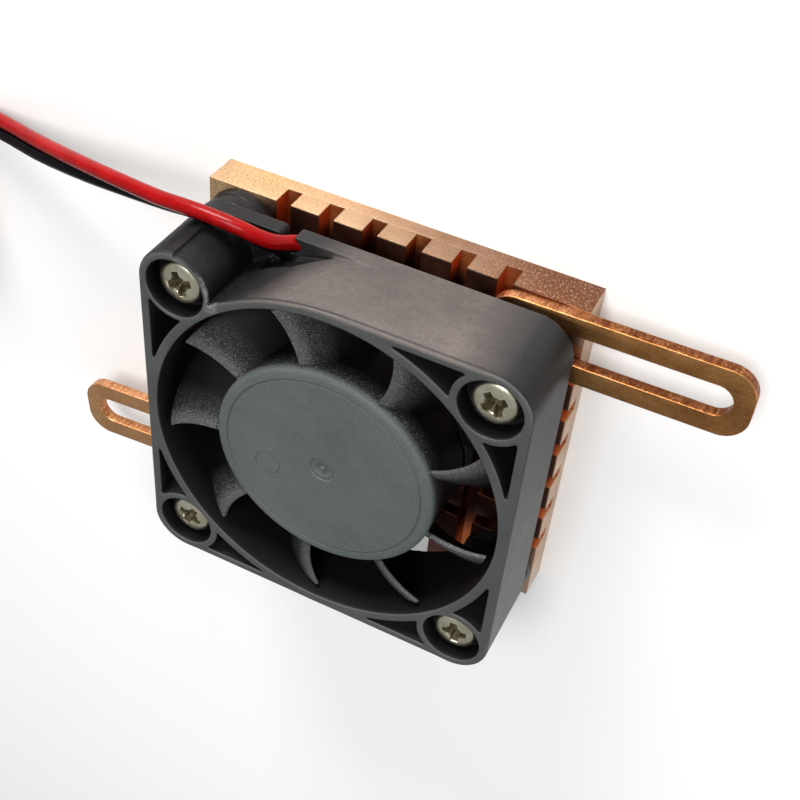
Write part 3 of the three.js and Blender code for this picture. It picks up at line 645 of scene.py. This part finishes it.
MATERIALS = {
    "sink": sink_copper(),
    "arm": arm_copper(),
    "case": case_plastic(),
    "impeller": impeller_plastic(),
    "nickel": screw_nickel(),
    "enamel": enamelled_wire(),
    "washer": plastic("washer_black", (0.004, 0.0038, 0.004), (0.008, 0.0075, 0.008), (0.3, 0.45),
                      specular=0.25),
    "steel": metal("bright_steel", (0.56, 0.57, 0.58), (0.42, 0.42, 0.43)),
    "ferrite": plastic("ferrite", (0.03, 0.028, 0.026), (0.06, 0.055, 0.05), (0.6, 0.8), 4000.0),
    "bronze": metal("bearing_bronze", (0.62, 0.43, 0.22), (0.42, 0.27, 0.12), (0.35, 0.55), 6000.0),
    "board": plastic("circuit_board", (0.02, 0.12, 0.04), (0.03, 0.17, 0.06), (0.25, 0.4), 3000.0),
    "epoxy": plastic("black_epoxy", (0.015, 0.015, 0.015), (0.03, 0.03, 0.03), (0.4, 0.55)),
    "foil": metal("label_foil", (0.72, 0.73, 0.74), (0.6, 0.61, 0.62), (0.3, 0.45)),
    "red": wire_insulation("red_insulation", (0.2, 0.0009, 0.0014), (0.28, 0.0014, 0.002), 0.16),
    "black": wire_insulation("black_insulation", (0.002, 0.0015, 0.002), (0.004, 0.003, 0.004), 0.05),
    "nylon": plastic("natural_nylon", (0.74, 0.71, 0.62), (0.8, 0.78, 0.7), (0.35, 0.5), 3000.0),
    "tin": metal("tinned_contact", (0.7, 0.7, 0.69), (0.5, 0.5, 0.5), (0.22, 0.4)),
}


# ---------------------------------------------------------------- the lead
CHANNEL_Z = FAN_BACK + 0.8
RED_ROUTE = [
    (-2.06, 10.95, CHANNEL_Z), (-2.59, 12.77, CHANNEL_Z), (-3.11, 14.7, CHANNEL_Z), (-3.6, 16.5, CHANNEL_Z),
    (-4.35, 17.85, CHANNEL_Z), (-5.6, 18.7, CHANNEL_Z), (-7.0, 18.95, CHANNEL_Z), (-8.05, 19.0, 7.75),
    (-8.8, 19.2, 8.6), (-9.5, 19.65, 9.6), (-10.6, 20.3, 10.45), (-12.4, 21.05, 11.05), (-16.46, 21.54, 11.4),
    (-20.98, 21.3, 11.2), (-26.2, 20.8, 10.2), (-32.35, 19.72, 8.3), (-39.5, 18.1, 5.5), (-46.2, 16.9, 2.9),
    (-52.2, 16.15, 1.25), (-58.6, 15.83, 0.8),
]
BLACK_ROUTE = [
    (-3.6, 10.52, CHANNEL_Z), (-4.13, 12.35, CHANNEL_Z), (-4.65, 14.28, CHANNEL_Z), (-5.12, 15.75, CHANNEL_Z),
    (-5.95, 16.85, CHANNEL_Z), (-7.2, 17.35, CHANNEL_Z), (-8.6, 17.45, 7.5), (-9.6, 17.85, 7.95),
    (-10.38, 18.42, 8.62), (-11.25, 19.12, 9.22), (-12.6, 19.85, 9.75), (-16.46, 20.4, 10.1),
    (-20.98, 20.1, 10.1), (-26.2, 19.4, 9.4), (-32.35, 18.15, 7.9), (-39.5, 16.5, 5.45), (-46.2, 15.3, 2.9),
    (-51.2, 14.62, 1.45), (-56.2, 14.3, 0.85),
]
TAIL_X = COIL_AT[0] - COIL_OUT
PLUG_REAR = -9.6
PLUG_PIN = 1.25
PLUG_HEIGHT = 5.75


def ease(t, low, high):
    t = min(1.0, max(0.0, (t - low) / (high - low)))
    return t * t * (3 - 2 * t)


def coil_points(side, steps=48):
    """One wire's turns: outer, inner, up, and outer again on top. side is +1 for red and -1 for black."""
    out = []
    for i in range(1, int(COIL_TURNS * steps)):
        t = i / steps
        shift = ease(t, 0.8, 1.0) - ease(t, 2.5, 2.7)
        radius = COIL_OUT - 2 * PAIR * shift + side * PAIR / 2
        angle = 90.0 + 360.0 * t
        off = abs((angle - TIE_ANGLE + 180.0) % 360.0 - 180.0)
        over_strap = 0.37 * (1 - ease(off, 10.0, 34.0))
        z = COIL_LOW + PAIR * ease(t, 1.64, 1.84) + over_strap
        x, y = radius * math.cos(rad(angle)), radius * math.sin(rad(angle))
        out.append((COIL_AT[0] + x, COIL_AT[1] + y, z))
    return out


def tail_points(side):
    """One wire from the coil to its pin in the plug."""
    x, y = TAIL_X - side * PAIR / 2, COIL_AT[1]
    pin_x, pin_z = TAIL_X - side * PLUG_PIN, PLUG_HEIGHT / 2
    return [
        (x, y - 3.0, 2.32), (x, y - 6.0, 2.2), (x, y - 8.7, 2.15), (x, y - 10.6, 2.15),
        (TAIL_X - side * PLUG_PIN * 0.8, y - 12.4, 2.5), (pin_x, PLUG_REAR - 0.2, pin_z),
        (pin_x, PLUG_REAR - 1.8, pin_z),
    ]


def catmull_rom(route, per_span=8):
    """The smooth centripetal curve through the route's points."""
    points = [Vector(p) for p in route]
    points = [2 * points[0] - points[1], *points, 2 * points[-1] - points[-2]]
    out = []
    for i in range(1, len(points) - 2):
        p0, p1, p2, p3 = points[i - 1:i + 3]
        d0, d1, d2 = (math.sqrt((b - a).length) for a, b in ((p0, p1), (p1, p2), (p2, p3)))
        m1 = ((p1 - p0) / d0 - (p2 - p0) / (d0 + d1) + (p2 - p1) / d1) * d1
        m2 = ((p2 - p1) / d1 - (p3 - p1) / (d1 + d2) + (p3 - p2) / d2) * d1
        square = -3 * p1 + 3 * p2 - 2 * m1 - m2
        cube = 2 * p1 - 2 * p2 + m1 + m2
        for k in range(per_span):
            t = k / per_span
            out.append(p1 + m1 * t + square * t ** 2 + cube * t ** 3)
    out.append(points[-2])
    return out


def path_length(points):
    return sum((b - a).length for a, b in zip(points, points[1:]))


def wire(name, route, side, material, nodes):
    """One wire in one curve, from the motor through its route and its coil to the plug."""
    coil = coil_points(side)
    tail = catmull_rom([coil[-1], *tail_points(side)], 8)[1:]
    path = catmull_rom(route, 10) + [Vector(p) for p in coil] + tail
    data = bpy.data.curves.new(name, "CURVE")
    data.dimensions = "3D"
    data.bevel_depth = WIRE / 2 * MM
    data.bevel_resolution = 5
    data.use_fill_caps = True
    spline = data.splines.new("POLY")
    spline.points.add(len(path) - 1)
    for point, p in zip(spline.points, path):
        point.co = (*(p * MM), 1.0)
    spline.use_smooth = True
    data.materials.append(material)
    obj = bpy.data.objects.new(name, data)
    SCENE.collection.objects.link(obj)
    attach(obj, "cooler")
    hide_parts(*nodes)
    return obj, path_length(path) * MM


def make_tie():
    room = PAIR / 2 + WIRE / 2 + 0.36
    inner, outer = COIL_IN - room, COIL_OUT + room
    band = cut(box(inner - 0.4, outer + 0.4, -1.0, 1.0, GAP, 3.9), box(inner, outer, -2, 2, 0.34, 3.54))
    head = box(outer + 0.2, outer + 1.7, -1.5, 1.5, 0.9, 3.1)
    slit = box(outer + 0.5, outer + 1.15, -0.95, 0.95, 0.5, 4.0)
    tail = box(outer + 0.6, outer + 1.05, -0.85, 0.85, 0.98, 4.6)
    teeth = [box(outer + 0.95, outer + 1.12, -0.6, 0.6, z, z + 0.16) for z in np.arange(3.2, 4.5, 0.32)]
    mesh = union(bevelled(band, 0.1), bevelled(cut(head, slit), 0.12), bevelled(tail, 0.06), *teeth)
    moved(mesh, *COIL_AT, 0, TIE_ANGLE)
    return piece("cable_tie", mesh, MATERIALS["nylon"], "cooler", ["coil_tie"])


def make_plug():
    half, length = 3.7, 9.8
    front = PLUG_REAR - length
    body = box(-half, half, front, PLUG_REAR, GAP, PLUG_HEIGHT)
    cuts = []
    for x in (-PLUG_PIN, PLUG_PIN):
        cuts += [
            box(x - 1.08, x + 1.08, front + 1.2, PLUG_REAR + 1, 1.75, 4.0),
            box(x - 0.5, x + 0.5, front - 1, front + 2, 2.35, 3.35),
            box(x - 0.55, x + 0.55, front + 2.6, front + 5.2, 3.5, PLUG_HEIGHT + 1),
        ]
    cuts.append(box(-half - 1, -half + 0.5, front - 1, front + 3.0, 1.4, 4.4))
    cuts.append(box(half - 0.5, half + 1, front - 1, front + 3.0, 1.4, 4.4))
    ribs = [box(x - 0.4, x + 0.4, front + 1.0, PLUG_REAR - 2.4, PLUG_HEIGHT - 0.1, PLUG_HEIGHT + 0.5)
            for x in (-2.5, 2.5)]
    mesh = moved(bevelled(cut(union(body, *ribs), *cuts), 0.12), TAIL_X)
    return piece("plug_shell", mesh, MATERIALS["nylon"], "cooler", ["plug_housing"])


def make_lead():
    red, red_length = wire("lead_red", RED_ROUTE, 1, MATERIALS["red"],
                           ["wire_red", "wire_red_tail", "lead_coil"])
    black, black_length = wire("lead_black", BLACK_ROUTE, -1, MATERIALS["black"],
                               ["wire_black", "wire_black_tail"])
    print("wire lengths", round(red_length, 4), round(black_length, 4))
    tie, plug = make_tie(), make_plug()


make_lead()


# ---------------------------------------------------------------- heatsink
def make_heatsink():
    half = SIDE / 2
    centres = [(i - (GROOVES - 1) / 2) * GROOVE_PITCH for i in range(GROOVES)]
    edges = [-half]
    for c in centres:
        edges += [c - GROOVE_WIDTH / 2, c + GROOVE_WIDTH / 2]
    edges.append(half)
    count = len(edges) - 1
    points, index, faces = [], {}, []

    def at(i, j, z):
        key = (i, j, z)
        if key not in index:
            index[key] = len(points)
            points.append((edges[i], edges[j], z))
        return index[key]

    def level(i, j):
        if not (0 <= i < count and 0 <= j < count):
            return 0.0
        return SINK_HEIGHT if i % 2 == 0 and j % 2 == 0 else SINK_BASE

    heights = (0.0, SINK_BASE, SINK_HEIGHT)
    for i in range(count):
        for j in range(count):
            z = level(i, j)
            faces.append((at(i, j, z), at(i + 1, j, z), at(i + 1, j + 1, z), at(i, j + 1, z)))
            faces.append((at(i, j, 0.0), at(i, j + 1, 0.0), at(i + 1, j + 1, 0.0), at(i + 1, j, 0.0)))
            for di, dj, a, b in ((-1, 0, (i, j), (i, j + 1)), (1, 0, (i + 1, j), (i + 1, j + 1)),
                                 (0, -1, (i, j), (i + 1, j)), (0, 1, (i, j + 1), (i + 1, j + 1))):
                low = level(i + di, j + dj)
                for z0, z1 in zip(heights, heights[1:]):
                    if low <= z0 and z1 <= z:
                        faces.append((at(*a, z0), at(*b, z0), at(*b, z1), at(*a, z1)))
    mesh = mesh_of(points, faces)
    holes = [cylinder(SINK_HOLE, SINK_HOLE_FLOOR, SINK_HEIGHT + 1, *screw_place(c), 48) for c in CORNERS]
    mesh = bevelled(cut(mesh, *holes), 0.09, 2)
    return piece("copper_heatsink", mesh, MATERIALS["sink"], "cooler", ["heatsink"])


make_heatsink()


# ---------------------------------------------------------------- mounting arms
def make_arm(corner, reach, turn):
    outline = rounded_rectangle(reach - ARM_LENGTH, reach, -ARM_WIDTH / 2, ARM_WIDTH / 2, ARM_CORNER, 20)
    r = ARM_SLOT / 2
    start, stop = reach - ARM_LENGTH + ARM_END_WALL + r, reach - ARM_END_WALL - r
    slot = circle(r, stop, 0, 32, -90, 90) + circle(r, start, 0, 32, 90, 270)
    z0, z1 = SINK_HEIGHT + GAP, SINK_HEIGHT + ARM_THICKNESS - GAP
    mesh = bevelled(cut(prism(outline, z0, z1), prism(slot, z0 - 1, z1 + 1)), 0.08, 3, 50)
    x, y = screw_place(corner)
    moved(mesh, x, y, 0, turn)
    return piece(f"slotted_arm_{corner}", mesh, MATERIALS["arm"], f"mounting_arm_{corner}",
                 [f"arm_{corner}"])


make_arm("tr", 20.2, 1)
make_arm("bl", 21.4, 184)


# ---------------------------------------------------------------- screws and washers
def recess_wing(angle):
    """Half of the cross recess: a slot through the head's middle, narrower towards its floor and its ends."""
    points = []
    for height, reach, half in ((-1.05, 0.8, 0.28), (-0.35, 1.28, 0.44), (0.2, 1.48, 0.52)):
        z = HEAD_TOP + height
        points += [(-reach, -half * 0.8, z), (0, -half * 1.15, z), (reach, -half * 0.8, z),
                   (reach, half * 0.8, z), (0, half * 1.15, z), (-reach, half * 0.8, z)]
    faces = [(5, 4, 3, 2, 1, 0), (12, 13, 14, 15, 16, 17)]
    for level in (0, 6):
        faces += [(level + i, level + (i + 1) % 6, level + 6 + (i + 1) % 6, level + 6 + i) for i in range(6)]
    return moved(mesh_of(points, faces), turn=angle)


def screw_head():
    outline = [
        (0, 0), (HEAD - 0.08, 0), (HEAD, 0.12), (HEAD + 0.01, 0.6), (HEAD, 1.05), (HEAD - 0.08, 1.24),
        (HEAD - 0.26, 1.38), (HEAD - 0.6, 1.48), (HEAD - 1.1, 1.55), (0.6, 1.59), (0, HEAD_TOP - HEAD_SEAT),
    ]
    head = lathe([(r, HEAD_SEAT + z) for r, z in outline], 96)
    low = HEAD_TOP - 1.05
    core = lathe([(0, low - 0.25), (0.42, low), (1.08, HEAD_TOP + 0.2), (0, HEAD_TOP + 0.2)], 24)
    return bevelled(cut(head, recess_wing(0), recess_wing(90), core), 0.05, 3, 35, 0.5)


def screw_shank():
    end, pitch, root, crest = HEAD_SEAT - SCREW_LENGTH, 0.45, 1.02, 1.25
    profile = [(0, end), (0.85, end)]
    z = end + 0.3
    while z < HEAD_SEAT - 0.3:
        profile += [(root, z), (crest, z + pitch / 2)]
        z += pitch
    return lathe([*profile, (crest, HEAD_SEAT + 0.2), (0, HEAD_SEAT + 0.2)], 48)


def make_screw(corner):
    mesh = moved(union(screw_head(), screw_shank()), *screw_place(corner), 0, SCREW_TURNS[corner])
    body = f"clamp_screw_{corner}" if corner in ("tr", "bl") else "cooler"
    return piece(f"pan_screw_{corner}", mesh, MATERIALS["nickel"], body, [f"screw_{corner}"])


def make_washer(name, corner, level, radius):
    top = FAN_BACK - level * WASHER_THICKNESS - GAP
    bottom = FAN_BACK - (level + 1) * WASHER_THICKNESS + GAP
    profile = [(WASHER_HOLE, bottom), (radius, bottom), (radius, top), (WASHER_HOLE, top)]
    mesh = lathe(rounded(profile, [0.08, 0.15, 0.15, 0.08]), 96, *screw_place(corner))
    return piece(f"spacer_{name}", mesh, MATERIALS["washer"], "cooler", [f"washer_{name}"])


for corner_name in CORNERS:
    make_screw(corner_name)
for corner_name in ("tr", "bl"):
    make_washer(corner_name, corner_name, 0, ARM_WASHER_RADIUS)
for corner_name in ("tl", "br"):
    make_washer(f"{corner_name}_upper", corner_name, 0, WASHER_RADIUS)
    make_washer(f"{corner_name}_lower", corner_name, 1, WASHER_RADIUS)


# ---------------------------------------------------------------- fan case
def tube_mesh(route, radius, sides=20, per_span=4):
    points = catmull_rom(route, per_span)
    verts, faces = [], []
    for k, p in enumerate(points):
        ahead = (points[min(k + 1, len(points) - 1)] - points[max(k - 1, 0)]).normalized()
        side = ahead.cross(Vector((0, 0, 1))).normalized()
        up = side.cross(ahead)
        for i in range(sides):
            a = 2 * math.pi * i / sides
            verts.append(p + radius * (math.cos(a) * side + math.sin(a) * up))
    for k in range(len(points) - 1):
        for i in range(sides):
            j = (i + 1) % sides
            faces.append((k * sides + i, k * sides + j, (k + 1) * sides + j, (k + 1) * sides + i))
    faces += [tuple(range(sides)), tuple(range((len(points) - 1) * sides, len(points) * sides))]
    return mesh_of(verts, faces)


def along_y(outline, y0, y1):
    """A prism whose outline is drawn in x and z."""
    mesh = prism(outline, -y1, -y0)
    mesh.transform(Matrix(((1, 0, 0, 0), (0, 0, -1, 0), (0, 1, 0, 0), (0, 0, 0, 1))))
    return mesh


def soft_arc(radius):
    """The (radius, z) points of a front edge rounded by SOFT_EDGE."""
    return [(radius - SOFT_EDGE * (1 - math.cos(rad(a))), FAN_FRONT - SOFT_EDGE * (1 - math.sin(rad(a))))
            for a in range(0, 91, 18)]


def soft_plate(half, corner):
    """The case's outer block, with its front edge rounded."""
    levels = [(half, FAN_BACK), *soft_arc(half)]
    points = []
    for reach, z in levels:
        outline = rounded_rectangle(-reach, reach, -reach, reach, corner - half + reach)
        points += [(x, y, z) for x, y in outline]
    n = len(points) // len(levels)
    faces = [tuple(range(n))[::-1], tuple(range(len(points) - n, len(points)))]
    for k in range(len(levels) - 1):
        for i in range(n):
            j = (i + 1) % n
            faces.append((k * n + i, k * n + j, (k + 1) * n + j, (k + 1) * n + i))
    return mesh_of(points, faces)


def soft_post(radius, x=0.0, y=0.0):
    """What a cut around a round wall leaves standing, with the wall's front edge rounded."""
    return lathe([(0, 0), (radius, 0), *soft_arc(radius), (radius - SOFT_EDGE, 30), (0, 30)], 192, x, y)


def case_block():
    """The flange with its side walls, and the ring and corner bosses, not yet bored."""
    half = SIDE / 2
    inside = rounded_rectangle(CASE_WALL - half, half - CASE_WALL, CASE_WALL - half, half - CASE_WALL,
                               CASE_CORNER - CASE_WALL)
    walls = cut(soft_plate(half, CASE_CORNER), prism(inside, FLANGE_TOP, FAN_FRONT + 1))
    body = union(walls, cylinder(RING, FAN_BACK, FAN_FRONT, sides=192))
    bosses = [cylinder(BOSS_TL if c == "tl" else BOSS, FAN_BACK, FAN_FRONT, *screw_place(c), 64)
              for c in CORNERS]
    return union(body, *bosses)


def lead_openings():
    """What the lead needs cut away: the side wall, a pocket in the ring's foot and a slot in the flange."""
    half = SIDE / 2
    meeting = math.asin(SHOULDER_X / (SHOULDER_RADIUS - RING))
    turns = [meeting * k / 12 for k in range(12, 0, -1)]
    shoulder = [(SHOULDER_X - SHOULDER_RADIUS * math.sin(t), half - SHOULDER_RADIUS * (1 - math.cos(t)))
                for t in turns]
    relief = prism([(-16, 21), (-16, 17.2), (-12.75, 17.2), (-10.9, 16.5), *shoulder, (SHOULDER_X, 20.01),
                    (SHOULDER_X, 21)], FLANGE_TOP, FAN_FRONT + 1)
    relief = cut(relief, soft_post(RING), soft_post(BOSS_TL, *screw_place("tl")))
    low, high = FLANGE_TOP - 0.01, FLANGE_TOP + 2.3
    pocket = along_y([(-10.4, low), (-3.4, low), (-6.9, high), (-10.4, high)], 15.0, half + 1)
    pocket = cut(pocket, cylinder(RING - LEAD_WALL, 0, 30, sides=192))
    slot = prism([(-9.4, 17.6), (-8.1, 17.6), (-8.1, 19.6), (-8.0, 19.9), (-7.8, 20.1), (-10.0, 20.1),
                  (-9.6, 19.9), (-9.4, 19.4)], FAN_BACK - 1, FLANGE_TOP + 0.2)
    return relief, pocket, slot


def motor_base(wires):
    """The cup and bearing tube that hold the motor, three struts, and the wider one that carries the lead."""
    floor, tube_end = FAN_BACK + 0.8, FAN_FRONT - 3.6
    rim, wall, label_seat = 12.2, 11.2, FAN_BACK + 0.25
    outer_tube, inner_tube, bearing = 3.0, 2.5, 1.9
    base = lathe([(bearing, label_seat), (wall, label_seat), (wall, FAN_BACK), (rim, FAN_BACK),
                  (rim, HUB_BOTTOM - 0.3), (wall, HUB_BOTTOM - 0.3), (wall, floor), (outer_tube, floor),
                  (outer_tube, tube_end), (inner_tube, tube_end), (inner_tube, floor), (bearing, floor)], 96)
    struts = [turned_box(STRUT_ANGLE + 90 * i, STRUT_ROOT, 19.2, 0.9, FAN_BACK, FAN_BACK + 1.7)
              for i in (1, 2, 3)]
    lead_strut = cut(turned_box(STRUT_ANGLE, STRUT_ROOT, 19.3, 2.7, FAN_BACK, FAN_BACK + 2.2), *wires)
    return base, *struts, lead_strut


def make_case():
    wires = [tube_mesh(route, WIRE / 2 + 0.15) for route in (RED_ROUTE[:13], BLACK_ROUTE[:12])]
    body = cut(case_block(), cylinder(BORE, 0, 30, sides=192), *lead_openings(), *wires)
    body = union(body, *motor_base(wires))
    body = cut(body, turned_box(STRUT_ANGLE, 10.6, 19.0, 1.85, FAN_BACK - 1, FAN_BACK + 1.85))
    wells = []
    for c in CORNERS:
        wells.append(cylinder(WELL, FAN_FRONT - WELL_DEPTH, FAN_FRONT + 1, *screw_place(c), 64))
        wells.append(cylinder(CASE_HOLE, 0, 30, *screw_place(c), 48))
    mesh = remeshed(cut(body, *wells), 0.11, 3, 0.35)
    return piece("fan_housing", mesh, MATERIALS["case"], "cooler", ["fan_case"], 80)


make_case()


# ---------------------------------------------------------------- impeller
def make_blade(number):
    """One blade: a curved section, thinner at both edges, swept and bowed from the hub out to its tip."""
    top, bottom = FAN_FRONT - 1.0, FAN_BACK + 2.9
    root, tip, middle = HUB - 0.45, 18.1, 15.0
    wrap = rad(BLADE_WRAP) * middle
    spans, rows = 20, 12
    start = rad(BLADE_START + 360 / BLADES * number)
    front, back = [], []
    for i in range(spans + 1):
        t = i / spans
        x, z = -wrap * t * (1.45 - 0.45 * t), top - (top - bottom) * t
        dx, dz = -wrap * (1.45 - 0.9 * t), -(top - bottom)
        size = math.hypot(dx, dz)
        half = 0.4 * (0.5 + 0.5 * min(1, t / 0.12)) * (1 - 0.4 * t)
        front.append((x - dz / size * half, z + dx / size * half))
        back.append((x + dz / size * half, z - dx / size * half))
    section = front + back[::-1]
    points, faces, n = [], [], len(section)
    for k in range(rows + 1):
        share = k / rows
        r = root + (tip - root) * share
        for x, z in section:
            a = start + rad(BLADE_SWEEP * share - 4 * BLADE_BOW * share * (1 - share)) + x / middle
            points.append((r * math.cos(a), r * math.sin(a), z))
    for k in range(rows):
        for i in range(n):
            j = (i + 1) % n
            faces.append((k * n + i, k * n + j, (k + 1) * n + j, (k + 1) * n + i))
    faces += [tuple(range(n)), tuple(range(rows * n, (rows + 1) * n))]
    return mesh_of(points, faces)


def make_impeller():
    inner, ceiling = HUB - 0.9, HUB_TOP - 1.0
    hub = lathe([
        (0, HUB_TOP - 0.04), (0.2, HUB_TOP - 0.06), (0.34, HUB_TOP - 0.3), (0.55, HUB_TOP - 0.32),
        (0.78, HUB_TOP - 0.12), (1.25, HUB_TOP - 0.1), (1.34, HUB_TOP - 0.14), (1.44, HUB_TOP),
        (10.6, HUB_TOP), (10.66, HUB_TOP - 0.1), (10.8, HUB_TOP - 0.1), (10.86, HUB_TOP),
        (11.4, HUB_TOP), (11.65, HUB_TOP - 0.05), (11.86, HUB_TOP - 0.2), (11.97, HUB_TOP - 0.42),
        (12.0, HUB_TOP - 0.7), (12.0, HUB_BOTTOM), (inner, HUB_BOTTOM), (inner, ceiling), (2.0, ceiling),
        (2.0, ceiling - 0.6), (1.1, ceiling - 0.6), (1.1, ceiling + 0.2), (0, ceiling + 0.2),
    ], 192)
    blades = [bevelled(make_blade(k), 0.09, 2, 40, 0.2) for k in range(BLADES)]
    mark = ring(1.3, 1.42, HUB_TOP - 0.06, HUB_TOP + 1, 64, -6.05, -2.1)
    mesh = union(cut(hub, mark), *blades)
    return piece("fan_impeller", mesh, MATERIALS["impeller"], "rotor", ["impeller"], 40)


make_impeller()


# ---------------------------------------------------------------- unseen pieces, CAD shapes in real finishes
INSIDE = {
    "rotor_yoke": "steel", "rotor_shaft": "steel", "stator_core": "steel", "rotor_magnet": "ferrite",
    "bearing_sleeve": "bronze", "driver_board": "board", "hall_sensor": "epoxy", "back_label": "foil",
    "bobbin_top": "nylon", "bobbin_bottom": "nylon", "shaft_clip": "nylon", "thrust_washer": "nylon",
    "winding_1": "enamel", "winding_2": "enamel", "winding_3": "enamel", "winding_4": "enamel",
    "terminal_red": "tin", "terminal_black": "tin",
}
for node_name, key in INSIDE.items():
    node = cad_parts[node_name]
    node.data.materials.clear()
    node.data.materials.append(MATERIALS[key])


# ---------------------------------------------------------------- floor, light
def make_stage():
    mesh = bpy.data.meshes.new("floor")
    half = 3.0
    corners = [(-half, -half, 0), (half, -half, 0), (half, half, 0), (-half, half, 0)]
    mesh.from_pydata(corners, [], [(0, 1, 2, 3)])
    s = Shader("floor_white", Specular_IOR_Level=0.1)
    tone = s.ramp(s.noise(3.0, 2.0), (0.3, (0.94, 0.94, 0.94)), (0.7, (0.97, 0.97, 0.97)))
    mesh.materials.append(s.finish(Base_Color=tone, Roughness=0.9))
    floor = bpy.data.objects.new("floor", mesh)
    SCENE.collection.objects.link(floor)
    floor.location = (0, 0, -0.00001)


def area_light(name, place, target, size, power, colour=(1, 1, 1)):
    data = bpy.data.lights.new(name, "AREA")
    data.shape = "SQUARE"
    data.size = size
    data.energy = power
    data.color = colour
    light = bpy.data.objects.new(name, data)
    SCENE.collection.objects.link(light)
    light.location = place
    direction = Vector(target) - Vector(place)
    light.rotation_mode = "QUATERNION"
    light.rotation_quaternion = direction.to_track_quat("-Z", "Y")


def make_light():
    world = bpy.data.worlds.new("studio")
    world.use_nodes = True
    background = world.node_tree.nodes["Background"]
    background.inputs["Color"].default_value = (1.0, 1.0, 1.0, 1.0)
    background.inputs["Strength"].default_value = 0.42
    SCENE.world = world
    centre = (0.0, 0.0, 0.01)
    area_light("key", (-0.12, 0.45, 0.09), centre, 0.16, 2.8, (1.0, 0.95, 0.91))
    area_light("top", (0.03, 0.32, 0.5), centre, 0.25, 2.0)
    area_light("fill", (0.45, -0.05, 0.1), centre, 0.2, 0.9)


make_stage()
make_light()
SCENE.view_settings.view_transform = "Standard"
SCENE.view_settings.look = "None"
